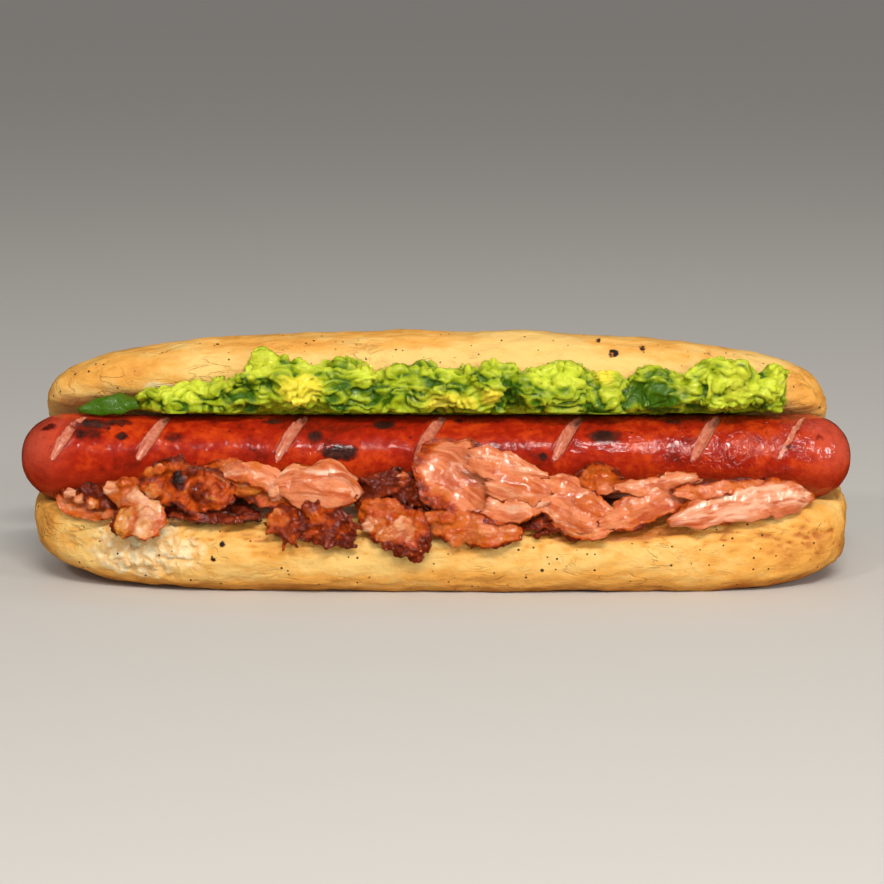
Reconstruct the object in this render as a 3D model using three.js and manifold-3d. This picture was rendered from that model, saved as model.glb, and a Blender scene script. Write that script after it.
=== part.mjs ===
// A grilled hot dog in a side-cut bun, lying on the flat underside of the bun with its open side to the
// front. The bun is one piece, hinged along its back. A scored sausage lies in the mouth. Mashed avocado sits
// on top of the sausage under the lifted half of the bun, and torn pieces of grilled bacon lie in front, over
// the lower rim.
// Millimetres. X runs along the sausage, Y from the open front to the hinge, Z up.
import * as THREE from "three";
import { mergeVertices } from "three/addons/utils/BufferGeometryUtils.js";
import Module from "manifold-3d";

const wasm = await Module();
wasm.setup();

// Driving dimensions.
const gap = 0.4; // left between pieces that touch
const sausageLength = 210;
const sausageRadius = 10.8;
const sausageCap = 11.5; // length of each rounded end
const sausageY = -9;
const sausageZ = 31.8;

const lowerLength = 208;
const lowerMiddleX = 0.95;
const upperLength = 201.2;
const upperMiddleX = -0.05;
const hingeY = 20;
const hingeZ = 22.2;
const openAngle = THREE.MathUtils.degToRad(42);

const scoreCount = 7;
const scoreDepth = 3.4;
const scoreHalfWidth = 1.9;
const scoreHalfLength = 11.5;
const scoreFacing = THREE.MathUtils.degToRad(46); // above the front of the sausage
const scoreSlant = THREE.MathUtils.degToRad(28); // away from straight round the sausage
const scorePitch = 34.6;
const endScorePitch = 21.5; // from each end score to the next one
const endScoreDepth = 2.7;
const endScoreHalfWidth = 1.15;
const scoreMiddleX = -1.5;

const colours = {
  bread: new THREE.Color(0.83, 0.62, 0.34),
  sausage: new THREE.Color(0.6, 0.1, 0.04),
  avocado: new THREE.Color(0.52, 0.66, 0.1),
  bacon: new THREE.Color(0.74, 0.34, 0.2),
};

// Smooth random values

// A repeatable random value from -1 to 1 for a point of a whole-numbered lattice.
function latticeValue(i, j, k) {
  const s = Math.sin(i * 127.1 + j * 311.7 + k * 74.7) * 43758.5453;
  return 2 * (s - Math.floor(s)) - 1;
}

// A smooth value from about -1 to 1 that changes over one unit of x, y or z.
function unevenness(x, y, z) {
  const cell = [x, y, z].map(Math.floor);
  const part = [x, y, z].map((v, n) => THREE.MathUtils.smoothstep(v - cell[n], 0, 1));
  let sum = 0;
  for (let corner = 0; corner < 8; corner++) {
    const step = [corner & 1, (corner >> 1) & 1, corner >> 2];
    const weight = step.reduce((w, s, n) => w * (s ? part[n] : 1 - part[n]), 1);
    sum += weight * latticeValue(cell[0] + step[0], cell[1] + step[1], cell[2] + step[2]);
  }
  return sum;
}

// Solids

// A closed geometry with its shared vertices merged, as a solid for joining and cutting.
function solidOf(geometry) {
  const bare = new THREE.BufferGeometry();
  bare.setAttribute("position", geometry.getAttribute("position").clone());
  if (geometry.index) bare.setIndex(geometry.index.clone());
  const merged = mergeVertices(bare, 1e-4);
  return new wasm.Manifold(
    new wasm.Mesh({
      numProp: 3,
      vertProperties: merged.getAttribute("position").array,
      triVerts: new Uint32Array(merged.index.array),
    }),
  );
}

// The largest body of a solid, as a geometry. The slivers that cutting leaves are smoothed away.
function geometryOf(solid) {
  const body = solid.decompose().sort((a, b) => b.volume() - a.volume())[0].simplify(0.02);
  const mesh = body.getMesh();
  const geometry = new THREE.BufferGeometry();
  geometry.setAttribute("position", new THREE.BufferAttribute(new Float32Array(mesh.vertProperties), 3));
  geometry.setIndex(new THREE.BufferAttribute(new Uint32Array(mesh.triVerts), 1));
  geometry.computeVertexNormals();
  return geometry;
}

// Moves each vertex of a geometry to where place(vertex) says.
function reshape(geometry, place) {
  const position = geometry.getAttribute("position");
  const vertex = new THREE.Vector3();
  for (let i = 0; i < position.count; i++) {
    const moved = place(vertex.fromBufferAttribute(position, i));
    position.setXYZ(i, moved.x, moved.y, moved.z);
  }
  return geometry;
}

// A sphere whose poles are the two ends of a long body: place(along, turn) gives the point at -1..1 along it
// and at an angle of 0..1 turns round it.
function longBody(sides, rings, place) {
  return reshape(new THREE.SphereGeometry(1, sides, rings), (v) => {
    const along = 1 - (2 * Math.acos(THREE.MathUtils.clamp(v.y, -1, 1))) / Math.PI;
    const atPole = Math.abs(along) > 0.9999;
    const turn = atPole ? 0 : (Math.atan2(v.z, v.x) / (2 * Math.PI) + 1) % 1;
    return place(along, turn, atPole);
  });
}

// The direction of a turn round a long body, in the sense that its outlines run: from the back down to the
// front.
function roundAt(turn) {
  return { y: Math.cos(turn * 2 * Math.PI), z: -Math.sin(turn * 2 * Math.PI) };
}

// Bun

// How much of its full size a long body keeps at a share of its half length, with blunt rounded ends.
function taper(share, bluntness) {
  return Math.pow(Math.max(0, 1 - Math.pow(Math.abs(share), bluntness)), 1 / bluntness);
}

// One half of the bun: a closed outline of [y, z] points, lofted along X and tapered towards the point that
// its ends close on. The two bluntnesses are lists of the left and the right end's.
function halfBun({ length, middleX, outline, endY, endZ, widthBluntness, heightBluntness, finish }) {
  const curve = new THREE.CatmullRomCurve3(
    outline.map(([y, z]) => new THREE.Vector3(0, y, z)),
    true,
    "centripetal",
  );
  const sides = 28;
  const rings = 34;
  return longBody(sides, rings, (along, turn, atPole) => {
    const share = Math.sin((along * Math.PI) / 2);
    const rim = curve.getPoint(turn);
    const end = share < 0 ? 0 : 1;
    const across = atPole ? 0 : taper(share, widthBluntness[end]);
    const tall = atPole ? 0 : taper(share, heightBluntness[end]);
    const point = new THREE.Vector3(
      middleX + (share * length) / 2,
      endY + (rim.y - endY) * across,
      endZ + (rim.z - endZ) * tall,
    );
    const lump = unevenness(point.x / 17, point.y / 12 + 5, point.z / 12);
    point.y += 0.55 * lump * across;
    point.z += 0.45 * lump * tall;
    return finish(point, share);
  });
}

const lowerOutline = [
  [0, -1.6], [-14, -1.5], [-21.5, -0.6], [-26.4, 3.1], [-28.3, 8.9], [-27.8, 13.8], [-25.2, 17.4],
  [-20.5, 19.2], [-13, 20], [-4, 20.4], [6, 20.6], [14, 22], [20, 24], [25.4, 23.6], [28.4, 18.4],
  [28.6, 10.8], [26.6, 3.6], [21.6, -0.6], [14, -1.5],
];
const rimRise = 3.6; // the rim stands this much higher at the ends of the bun than at its middle

const lowerHalf = halfBun({
  length: lowerLength,
  middleX: lowerMiddleX,
  outline: lowerOutline,
  endY: 2,
  endZ: 15.6,
  widthBluntness: [3.4, 4.2],
  heightBluntness: [3.2, 4.6],
  finish(point, share) {
    const high = THREE.MathUtils.smoothstep(point.z, 10.4, 17.4);
    point.z += rimRise * high * THREE.MathUtils.smoothstep(Math.abs(share), 0.45, 0.95);
    point.z = Math.max(0, point.z); // the flat underside
    return point;
  },
});

// The upper half lies level here, its cut face at z = 0 and the hinge at y = 0, and is then swung open.
const upperOutline = [
  [-8, -0.2], [-20, 0.3], [-32, 0.2], [-42, -0.6], [-46.2, 0.8], [-48, 5.2], [-46.6, 11.6], [-42.6, 16.4],
  [-35, 19.2], [-25, 20.2], [-14, 19.6], [-4, 16.6], [3, 11.4], [6.4, 5], [6.2, -0.6], [1, -2.4],
];
const upperDroop = { left: 1.6, right: 3.2 }; // how much the top of the bun falls towards its ends

const upperHalf = halfBun({
  length: upperLength,
  middleX: upperMiddleX,
  outline: upperOutline,
  endY: -18,
  endZ: 5.5,
  widthBluntness: [4, 4],
  heightBluntness: [2.9, 4.6],
  finish(point, share) {
    const y = point.y * Math.cos(openAngle) + point.z * Math.sin(openAngle);
    const z = point.z * Math.cos(openAngle) - point.y * Math.sin(openAngle);
    const droop = share < 0 ? upperDroop.left : upperDroop.right;
    const towardsEnd = THREE.MathUtils.smoothstep(Math.abs(share), 0.1, 0.9);
    const fall = droop * towardsEnd * THREE.MathUtils.smoothstep(z, 5, 30);
    return new THREE.Vector3(point.x, hingeY + y, hingeZ + z - fall);
  },
});

// Sausage

// A rounded rod along X. grow makes it thicker all over.
function sausageRod(grow) {
  const capShare = 0.3;
  const straight = sausageLength / 2 - sausageCap;
  return longBody(24, 30, (along, turn, atPole) => {
    const out = Math.abs(along);
    const intoCap = THREE.MathUtils.clamp((out - 1 + capShare) / capShare, 0, 1) * (Math.PI / 2);
    const inCap = straight + (sausageCap + grow) * Math.sin(intoCap);
    const distance = out < 1 - capShare ? (out / (1 - capShare)) * straight : inCap;
    const x = Math.sign(along) * distance;
    const swell = 0.22 * unevenness(x / 23, 3.7, 0);
    const radius = atPole ? 0 : (sausageRadius + swell + grow) * Math.pow(Math.cos(intoCap), 0.88);
    const round = roundAt(turn);
    return new THREE.Vector3(x, sausageY + radius * round.y, sausageZ + radius * round.z);
  });
}

// The knife's path for one score, a thin lens that leans along the sausage.
function scoreBlade(x, depth, halfWidth) {
  const halfHeight = 5.6;
  const out = new THREE.Vector3(0, -Math.cos(scoreFacing), Math.sin(scoreFacing));
  const down = new THREE.Vector3(0, -Math.sin(scoreFacing), -Math.cos(scoreFacing));
  const lean = new THREE.Vector3(-Math.sin(scoreSlant), 0, 0);
  const along = down.multiplyScalar(Math.cos(scoreSlant)).add(lean);
  const side = new THREE.Vector3().crossVectors(out, along);
  const blade = new THREE.SphereGeometry(1, 10, 8);
  blade.scale(scoreHalfLength, halfWidth, halfHeight);
  const centre = new THREE.Vector3(x, sausageY, sausageZ);
  centre.addScaledVector(out, sausageRadius - depth + halfHeight);
  blade.applyMatrix4(new THREE.Matrix4().makeBasis(along, side, out).setPosition(centre));
  return blade;
}

// The scores are evenly spaced, apart from the two end ones, which are closer in, shallower and narrower.
const lastScore = (scoreCount - 1) / 2;
let sausage = solidOf(sausageRod(0));
for (let place = -lastScore; place <= lastScore; place++) {
  const atEnd = Math.abs(place) === lastScore;
  const endX = Math.sign(place) * ((lastScore - 1) * scorePitch + endScorePitch);
  const x = scoreMiddleX + (atEnd ? endX : place * scorePitch);
  const depth = atEnd ? endScoreDepth : scoreDepth;
  const halfWidth = atEnd ? endScoreHalfWidth : scoreHalfWidth;
  sausage = sausage.subtract(solidOf(scoreBlade(x, depth, halfWidth)));
}
const sausageClear = solidOf(sausageRod(gap));
const bun = solidOf(lowerHalf).add(solidOf(upperHalf)).subtract(sausageClear);

// Avocado

// Spoonfuls of mash: where each is centred and how far it reaches along X, Y and Z.
const spoonfuls = [
  [-65, -11, 46.9, 10.4, 5.2, 4], [-53, -12, 47.5, 10.6, 6, 5.4], [-43.2, -13.6, 52.6, 5.4, 5.2, 7.6],
  [-35.5, -15.4, 51.1, 6.8, 5.6, 6.5], [-22.6, -14.2, 50.8, 8.2, 6, 7], [-13, -12.4, 48.2, 11, 6.2, 5.8],
  [-4.5, -14.2, 50.4, 8.6, 6, 6.6], [6, -13.2, 49.3, 11, 6.4, 6.2], [14, -15, 50.6, 5.2, 5.8, 7],
  [29.5, -14.4, 49.9, 12.6, 6.6, 6.8], [42.5, -14.4, 47.7, 6.4, 5.6, 6.4], [57, -13, 49.2, 7.8, 5.8, 6.4],
  [71.5, -16, 51.3, 9.4, 6.4, 6.8], [83.4, -12.6, 48.9, 5, 5.2, 5.6],
];
const bedLength = 158;
const bedMiddleX = 7;

function spoonful([x, y, z, reachX, reachY, reachZ]) {
  return reshape(new THREE.SphereGeometry(1, 10, 7), (v) => {
    const lump = 1 + 0.2 * unevenness(v.x * 1.7 + x, v.y * 1.7, v.z * 1.7 + y);
    return new THREE.Vector3(x + v.x * reachX * lump, y + v.y * reachY * lump, z + v.z * reachZ * lump);
  });
}

// The layer of mash between the top of the sausage and the upper cut face.
const avocadoBed = longBody(10, 24, (along, turn, atPole) => {
  const share = Math.sin((along * Math.PI) / 2);
  const size = atPole ? 0 : taper(share, 2.6) * (1 + 0.16 * unevenness(share * 9, 2.2, turn * 3));
  const round = roundAt(turn);
  return new THREE.Vector3(
    bedMiddleX + (share * bedLength) / 2,
    -8 + 8.8 * size * round.y,
    46.2 + 5 * size * round.z - 3 * size * round.y,
  );
});

// The bun, grown by the gap, as a cutter for what lies against it.
function grownBun() {
  const swell = (geometry) => {
    geometry.computeVertexNormals();
    const normal = geometry.getAttribute("normal");
    const position = geometry.getAttribute("position");
    for (let i = 0; i < position.count; i++) {
      position.setXYZ(
        i,
        position.getX(i) + gap * normal.getX(i),
        position.getY(i) + gap * normal.getY(i),
        position.getZ(i) + gap * normal.getZ(i),
      );
    }
    return geometry;
  };
  const bare = (geometry) => {
    const copy = new THREE.BufferGeometry();
    copy.setAttribute("position", geometry.getAttribute("position").clone());
    copy.setIndex(geometry.index.clone());
    return mergeVertices(copy, 1e-4);
  };
  return solidOf(swell(bare(lowerHalf))).add(solidOf(swell(bare(upperHalf))));
}
const bunClear = grownBun();

let avocado = solidOf(avocadoBed);
for (const size of spoonfuls) avocado = avocado.add(solidOf(spoonful(size)));

// Strips

// A thin wavy strip. path is a list of [x, y, z] that its middle follows, width the width at each of them,
// across the direction from its lower to its upper edge, bow how far its middle stands out from its edges,
// and ruffle the height of the waves along its edges.
function strip(shape, grow = 0) {
  const { path, width, across, bow = 0, ruffle = 0.6, waves = 2, thickness = 1.5, seed = 0 } = shape;
  const points = path.map((p) => new THREE.Vector3(...p));
  const curve = new THREE.CatmullRomCurve3(points, false, "centripetal");
  const widthAt = (u) => {
    const place = THREE.MathUtils.clamp(u, 0, 1) * (width.length - 1);
    const low = Math.min(Math.floor(place), width.length - 2);
    return THREE.MathUtils.lerp(width[low], width[low + 1], THREE.MathUtils.smoothstep(place - low, 0, 1));
  };
  const length = curve.getLength();
  const steps = Math.max(6, Math.round(length / 3.3));
  const upward = new THREE.Vector3(...across).normalize();
  return reshape(new THREE.BoxGeometry(1, 1, 1, steps, 4, 1), (v) => {
    const u = v.x + 0.5;
    const edge = 2 * v.y;
    const centre = curve.getPoint(u);
    const ahead = curve.getTangent(u);
    const toEdge = upward.clone().addScaledVector(ahead, -upward.dot(ahead)).normalize();
    const out = new THREE.Vector3().crossVectors(ahead, toEdge);
    const ragged = 1 + 0.16 * unevenness(u * length * 0.3, edge * 2, seed + 3.3);
    const endRound = 1 - 0.35 * Math.pow(Math.abs(2 * u - 1), 6);
    const reach = (edge * widthAt(u) * ragged * endRound) / 2 + Math.sign(edge) * grow;
    const wave = Math.sin(2 * Math.PI * waves * u + seed + 1.2 * edge) * (0.35 + 0.65 * Math.abs(edge));
    const lift = bow * (1 - edge * edge) + ruffle * wave + 0.7 * unevenness(u * length * 0.22, edge, seed);
    return centre
      .addScaledVector(toEdge, reach)
      .addScaledVector(out, lift + 2 * v.z * (thickness / 2 + grow))
      .addScaledVector(ahead, Math.sign(v.x) * (Math.abs(v.x) > 0.499 ? grow : 0));
  });
}

const avocadoSliver = {
  path: [[-90, -10.5, 44.1], [-85, -11, 44.8], [-79.5, -11.5, 45.6], [-74.5, -12, 46.2]],
  width: [1.6, 4.4, 5.6, 4],
  across: [0, 0.5, 1],
  bow: 0.8,
  ruffle: 0.3,
  waves: 1,
  thickness: 1.8,
  seed: 4,
};

// Torn bacon, in the order in which the pieces give way to each other: the front ones first.
const bacon = {
  bacon_big_slice: {
    path: [[-4.5, -23.6, 35.8], [3.5, -25.6, 31.6], [11.5, -27.4, 26.6], [19, -28.6, 22]],
    width: [12, 19, 19.5, 10], across: [0.6, 0.3, 0.8], bow: -1.4, ruffle: 0.5, waves: 1.5,
    thickness: 1.8, seed: 1,
  },
  bacon_right_slice: {
    path: [[57, -28.4, 19], [67, -27.2, 22.2], [78, -25.4, 24.2], [87, -22.6, 24.6], [94, -19, 23.4]],
    width: [3.5, 9.5, 11, 9.5, 4], across: [0, 0.45, 1], bow: 1.6, ruffle: 0.4, waves: 2,
    thickness: 1.8, seed: 2,
  },
  bacon_cup: {
    path: [[34.5, -23.6, 28], [40, -24.6, 29.6], [46.5, -23.8, 27.8]],
    width: [5, 8.5, 5], across: [0, 0.35, 1], bow: -1.6, ruffle: 0.3, waves: 1, seed: 3,
  },
  bacon_fat_piece: {
    path: [[-19, -25.8, 22.4], [-12.5, -28.4, 20], [-6.5, -30.2, 17], [-1.5, -31, 15]],
    width: [7, 11, 12, 8], across: [0.25, 0.2, 1], bow: 0.8, ruffle: 0.7, waves: 2, thickness: 2, seed: 5,
  },
  bacon_pink_curl: {
    path: [[-41, -24.6, 27.8], [-34, -26, 28.4], [-27, -27.2, 28.2], [-19.5, -26.4, 27]],
    width: [6, 10.5, 12.5, 9], across: [0, 0.35, 1], bow: 1.6, ruffle: 0.5, waves: 1.5,
    thickness: 1.7, seed: 6,
  },
  bacon_hanging_fat: {
    path: [[-69.5, -25, 24.2], [-71.5, -27.6, 21], [-73, -29.4, 18], [-73.8, -29.8, 15.8]],
    width: [8, 10, 9.5, 5], across: [1, 0, 0.15], bow: 0.8, ruffle: 0.4, waves: 1, seed: 7,
  },
  bacon_left_curl: {
    path: [[-95, -17, 25.4], [-90.5, -19.4, 23.2], [-85, -21.6, 22], [-79.5, -23, 21.2]],
    width: [5, 9, 9, 4.5], across: [0.1, 0.5, 1], bow: -1.6, ruffle: 0.4, waves: 1.5, seed: 8,
  },
  bacon_left_crest: {
    path: [[-73, -24.2, 28], [-64.5, -25.6, 28.6], [-57, -26, 27], [-50, -25.6, 25]],
    width: [7, 12.5, 12, 7], across: [0, 0.4, 1], bow: 1, ruffle: 0.9, waves: 2.5, thickness: 1.7, seed: 9,
  },
  bacon_left_knob: {
    path: [[-82, -22.4, 26.6], [-77.5, -23.6, 26.2], [-74.5, -23.8, 25], [-70, -22.8, 23.4]],
    width: [4.5, 8, 8, 5], across: [0, 0.5, 1], bow: 1.4, ruffle: 0.5, waves: 1, seed: 10,
  },
  bacon_lower_crisp: {
    path: [[-42, -26.6, 19.2], [-35, -28, 19.8], [-27, -29, 18.6], [-19.5, -29.4, 16]],
    width: [6, 11, 11, 6], across: [0, 0.3, 1], bow: 0.8, ruffle: 0.9, waves: 2.5, seed: 11,
  },
  bacon_lower_pink: {
    path: [[-3.5, -27, 20], [5, -28.6, 18.6], [13, -29.4, 17], [21.5, -29.4, 17]],
    width: [6, 9, 9, 4.5], across: [0, 0.3, 1], bow: 0.9, ruffle: 0.5, waves: 2, seed: 12,
  },
  bacon_right_fold: {
    path: [[25, -25.4, 27.8], [31, -27, 25], [37.5, -28.2, 21.8], [44.5, -28, 20.2]],
    width: [8, 12.5, 11.5, 6], across: [0.35, 0.3, 1], bow: 1, ruffle: 0.7, waves: 2, seed: 13,
  },
  bacon_right_twist: {
    path: [[40, -29, 18.8], [48, -27.4, 21.4], [57, -25.6, 25], [66.5, -22.8, 27.8]],
    width: [4.5, 8.5, 8.5, 5], across: [-0.25, 0.35, 1], bow: 1, ruffle: 0.6, waves: 2, seed: 14,
  },
  bacon_back_band: {
    path: [[-60, -22, 30.4], [-50.5, -23, 29.8], [-43.5, -23.6, 27], [-37, -23.8, 23.2]],
    width: [5, 8.5, 9, 6], across: [0.1, 0.4, 1], bow: 0.8, ruffle: 0.6, waves: 2, seed: 15,
  },
  bacon_dark_crisp: {
    path: [[-20.5, -22.2, 23.8], [-13.5, -23, 26.8], [-7, -22.8, 25.6], [0, -22.2, 23.2]],
    width: [6, 10, 10.5, 6.5], across: [0, 0.4, 1], bow: 0.8, ruffle: 1, waves: 3, seed: 16,
  },
  bacon_small_pink: {
    path: [[17.5, -23.6, 25.8], [24, -24, 24.8], [30.5, -24, 23]],
    width: [5, 8, 5], across: [0, 0.4, 1], bow: 1, ruffle: 0.3, waves: 1, seed: 17,
  },
  bacon_thin_strand: {
    path: [[21, -27.4, 17.6], [28, -27.8, 19.2], [35, -28, 18], [42.5, -28.4, 18.8]],
    width: [2.4, 4, 3.6, 2.4], across: [0, 0.5, 1], bow: 0.3, ruffle: 0.5, waves: 2,
    thickness: 1.2, seed: 19,
  },
  bacon_rim_strip: {
    path: [[-69, -21.6, 20.4], [-60, -22.8, 20.4], [-50.5, -23.6, 20.2], [-43.5, -24, 20.2]],
    width: [4, 6, 6, 4], across: [0, 0.85, 0.5], bow: 0.3, ruffle: 0.5, waves: 3, thickness: 1.3, seed: 18,
  },
};

// The finished group

const group = new THREE.Group();

function addPiece(name, geometry, colour, roughness) {
  const material = new THREE.MeshStandardMaterial({ color: colour, roughness, metalness: 0 });
  const mesh = new THREE.Mesh(geometry, material);
  mesh.name = name;
  group.add(mesh);
}

addPiece("bun", geometryOf(bun), colours.bread, 0.75);
addPiece("sausage", geometryOf(sausage), colours.sausage, 0.3);
const sliverClear = solidOf(strip(avocadoSliver, gap)).add(solidOf(strip(avocadoSliver)));
const mash = avocado.subtract(sausageClear).subtract(bunClear).subtract(sliverClear);
addPiece("avocado_mash", geometryOf(mash), colours.avocado, 0.45);

let taken = sausageClear.add(bunClear);
addPiece("avocado_sliver", geometryOf(solidOf(strip(avocadoSliver)).subtract(taken)), colours.avocado, 0.4);

for (const [name, shape] of Object.entries(bacon)) {
  const piece = solidOf(strip(shape)).subtract(taken);
  addPiece(name, geometryOf(piece), colours.bacon, 0.4);
  taken = taken.add(solidOf(strip(shape, gap))).add(piece);
}

// The origin is the middle of the underside.
const bounds = new THREE.Box3().setFromObject(group, true);
const middle = bounds.getCenter(new THREE.Vector3());
group.position.set(-middle.x, -middle.y, -bounds.min.z);

export default group;
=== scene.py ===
"""The looks of a grilled hot dog: its bun, sausage, avocado mash and torn bacon, on a pale studio floor.

The forms repeat the driving dimensions of the solids that they replace, at a finer scale. Lengths are worked out in
millimetres in the maker's frame (X along the sausage, Y from the open front to the hinge, Z up) and moved into the
row frame, in metres, as each piece is finished.
"""

import functools
import math
import random

import bmesh
import bpy
from bpy.props import FloatProperty, FloatVectorProperty, IntProperty, PointerProperty
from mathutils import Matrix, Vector, noise
from mathutils.bvhtree import BVHTree
from mathutils.kdtree import KDTree


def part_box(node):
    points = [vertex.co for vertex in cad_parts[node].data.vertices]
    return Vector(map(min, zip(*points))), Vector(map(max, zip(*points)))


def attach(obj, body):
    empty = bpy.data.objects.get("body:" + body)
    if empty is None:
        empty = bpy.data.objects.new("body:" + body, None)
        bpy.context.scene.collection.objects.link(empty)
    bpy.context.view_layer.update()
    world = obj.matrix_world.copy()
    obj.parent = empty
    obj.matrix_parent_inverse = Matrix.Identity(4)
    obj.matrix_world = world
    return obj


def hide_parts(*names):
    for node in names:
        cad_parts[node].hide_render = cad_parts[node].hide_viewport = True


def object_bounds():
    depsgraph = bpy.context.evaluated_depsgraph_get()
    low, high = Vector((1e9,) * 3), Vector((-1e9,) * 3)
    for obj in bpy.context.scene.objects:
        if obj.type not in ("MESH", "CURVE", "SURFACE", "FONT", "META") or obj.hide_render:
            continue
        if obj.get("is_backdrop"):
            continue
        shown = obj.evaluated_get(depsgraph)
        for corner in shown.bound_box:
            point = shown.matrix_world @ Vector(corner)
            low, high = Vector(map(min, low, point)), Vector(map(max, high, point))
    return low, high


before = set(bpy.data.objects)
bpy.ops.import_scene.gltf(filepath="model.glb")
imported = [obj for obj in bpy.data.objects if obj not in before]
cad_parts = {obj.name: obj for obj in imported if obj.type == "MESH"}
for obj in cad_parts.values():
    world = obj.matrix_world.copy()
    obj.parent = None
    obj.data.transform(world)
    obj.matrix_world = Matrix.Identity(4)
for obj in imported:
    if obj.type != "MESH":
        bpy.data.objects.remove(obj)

bl_info = {
    "name": "Grilled Hot Dog",
    "version": (1, 0, 0),
    "blender": (4, 5, 0),
    "location": "3D View > Sidebar > Hot Dog",
    "description": "Bun, sausage, avocado mash and torn bacon, with the stage they are shown on",
    "category": "Object",
}

MM = 0.001
SAUSAGE_Y = -9.0
SAUSAGE_Z = 31.8
SAUSAGE_CAP = 11.5  # how long each rounded end of the sausage is
CLEARANCE = 0.3  # between pieces that touch
BED_END = 103  # how far along X the sausage lies in the bun
SHEET_SEARCH = 12.0  # how far from a point of a bacon sheet the bun's surface is looked for
PIECE_SEARCH = 8.0  # and from a point of a finished piece
SHEET_THICKNESS = 0.66  # a sheet's share of its solid's thickness
NOISE_SEED = 7  # for noise_vector, which would start from the clock
noise.seed_set(NOISE_SEED)

# Curves and noise


def clamp(value, low=0.0, high=1.0):
    """The value, kept between two limits."""
    return max(low, min(high, value))


def smoothstep(value, low, high):
    """Rises smoothly from 0 at low to 1 at high."""
    share = clamp((value - low) / (high - low))
    return share * share * (3 - 2 * share)


def mix(low, high, share):
    """A value between two others."""
    return low + (high - low) * share


def lattice_value(i, j, k):
    """A repeatable random value from -1 to 1 for a point of a whole-numbered lattice."""
    s = math.sin(i * 127.1 + j * 311.7 + k * 74.7) * 43758.5453
    return 2 * (s - math.floor(s)) - 1


def unevenness(x, y, z):
    """A smooth value from about -1 to 1 that changes over one unit of x, y or z."""
    cell = [math.floor(v) for v in (x, y, z)]
    part = [smoothstep(v - c, 0, 1) for v, c in zip((x, y, z), cell)]
    total = 0.0
    for corner in range(8):
        step = (corner & 1, (corner >> 1) & 1, corner >> 2)
        weight = 1.0
        for s, p in zip(step, part):
            weight *= p if s else 1 - p
        total += weight * lattice_value(*(c + s for c, s in zip(cell, step)))
    return total


def ridges(point, size):
    """Sharp crests, from 0 between them to 1 along them, about size apart."""
    return 1 - min(1.0, 2.2 * abs(noise.noise(point / size)))


def curve_point(points, t, closed=False):
    """A point on the centripetal Catmull-Rom curve through points, at a share t of its run."""
    count = len(points)
    spans = count if closed else count - 1
    run = (t % 1.0 if closed else clamp(t)) * spans
    index = min(int(math.floor(run)), spans - 1)
    weight = run - index
    if closed:
        p0, p1, p2, p3 = (points[(index + n) % count] for n in (-1, 0, 1, 2))
    else:
        p1, p2 = points[index], points[index + 1]
        p0 = points[index - 1] if index > 0 else p1 * 2 - p2
        p3 = points[index + 2] if index + 2 < count else p2 * 2 - p1
    d0, d1, d2 = (math.sqrt(max((b - a).length, 1e-6)) for a, b in ((p0, p1), (p1, p2), (p2, p3)))
    leave = ((p1 - p0) / d0 - (p2 - p0) / (d0 + d1) + (p2 - p1) / d1) * d1
    reach = ((p2 - p1) / d1 - (p3 - p1) / (d1 + d2) + (p3 - p2) / d2) * d1
    c2 = (p2 - p1) * 3 - leave * 2 - reach
    c3 = (p1 - p2) * 2 + leave + reach
    return p1 + leave * weight + c2 * weight**2 + c3 * weight**3


def taper(share, bluntness):
    """How much of its full size a long body keeps at a share of its half length."""
    return max(0.0, 1 - abs(share) ** bluntness) ** (1 / bluntness)


# Meshes

low, high = (Vector(corner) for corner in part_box("sausage"))
SHIFT = (low + high) / (2 * MM) - Vector((0, SAUSAGE_Y, SAUSAGE_Z))


def to_maker(point):
    """A point of the row frame in metres, in the maker's frame in millimetres."""
    return point / MM - SHIFT


def long_body(sides, rings, place):
    """A closed body along X: place(along, turn, at_pole) gives the point at -1..1 along it and 0..1 turns round."""
    bm = bmesh.new()
    bmesh.ops.create_uvsphere(bm, u_segments=sides, v_segments=rings, radius=1)
    for vert in bm.verts:
        x, y, z = vert.co
        along = 1 - 2 * math.acos(clamp(z, -1, 1)) / math.pi
        at_pole = abs(along) > 0.9999
        turn = 0 if at_pole else (math.atan2(y, x) / math.tau) % 1
        vert.co = place(along, turn, at_pole)
    bmesh.ops.recalc_face_normals(bm, faces=bm.faces)
    return bm


def join_into(bm, other):
    """Adds another mesh to bm and frees it."""
    spare = bpy.data.meshes.new("spare")
    other.to_mesh(spare)
    other.free()
    bm.from_mesh(spare)
    bpy.data.meshes.remove(spare)


def fused(bm, voxel):
    """The outer surface of overlapping closed bodies, as one even mesh."""
    mesh = bpy.data.meshes.new("spare")
    bm.to_mesh(mesh)
    bm.free()
    obj = bpy.data.objects.new("spare", mesh)
    bpy.context.scene.collection.objects.link(obj)
    remesh = obj.modifiers.new("Remesh", "REMESH")
    remesh.mode = "VOXEL"
    remesh.voxel_size = voxel
    evaluated = obj.evaluated_get(bpy.context.evaluated_depsgraph_get())
    result = bmesh.new()
    result.from_mesh(evaluated.to_mesh())
    evaluated.to_mesh_clear()
    bpy.data.objects.remove(obj)
    bpy.data.meshes.remove(mesh)
    return result


def smooth(bm, times, factor=0.5):
    """Relaxes every vertex towards its neighbours."""
    for _ in range(times):
        bmesh.ops.smooth_vert(
            bm, verts=bm.verts, factor=factor, use_axis_x=True, use_axis_y=True, use_axis_z=True
        )
    bm.normal_update()


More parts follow.
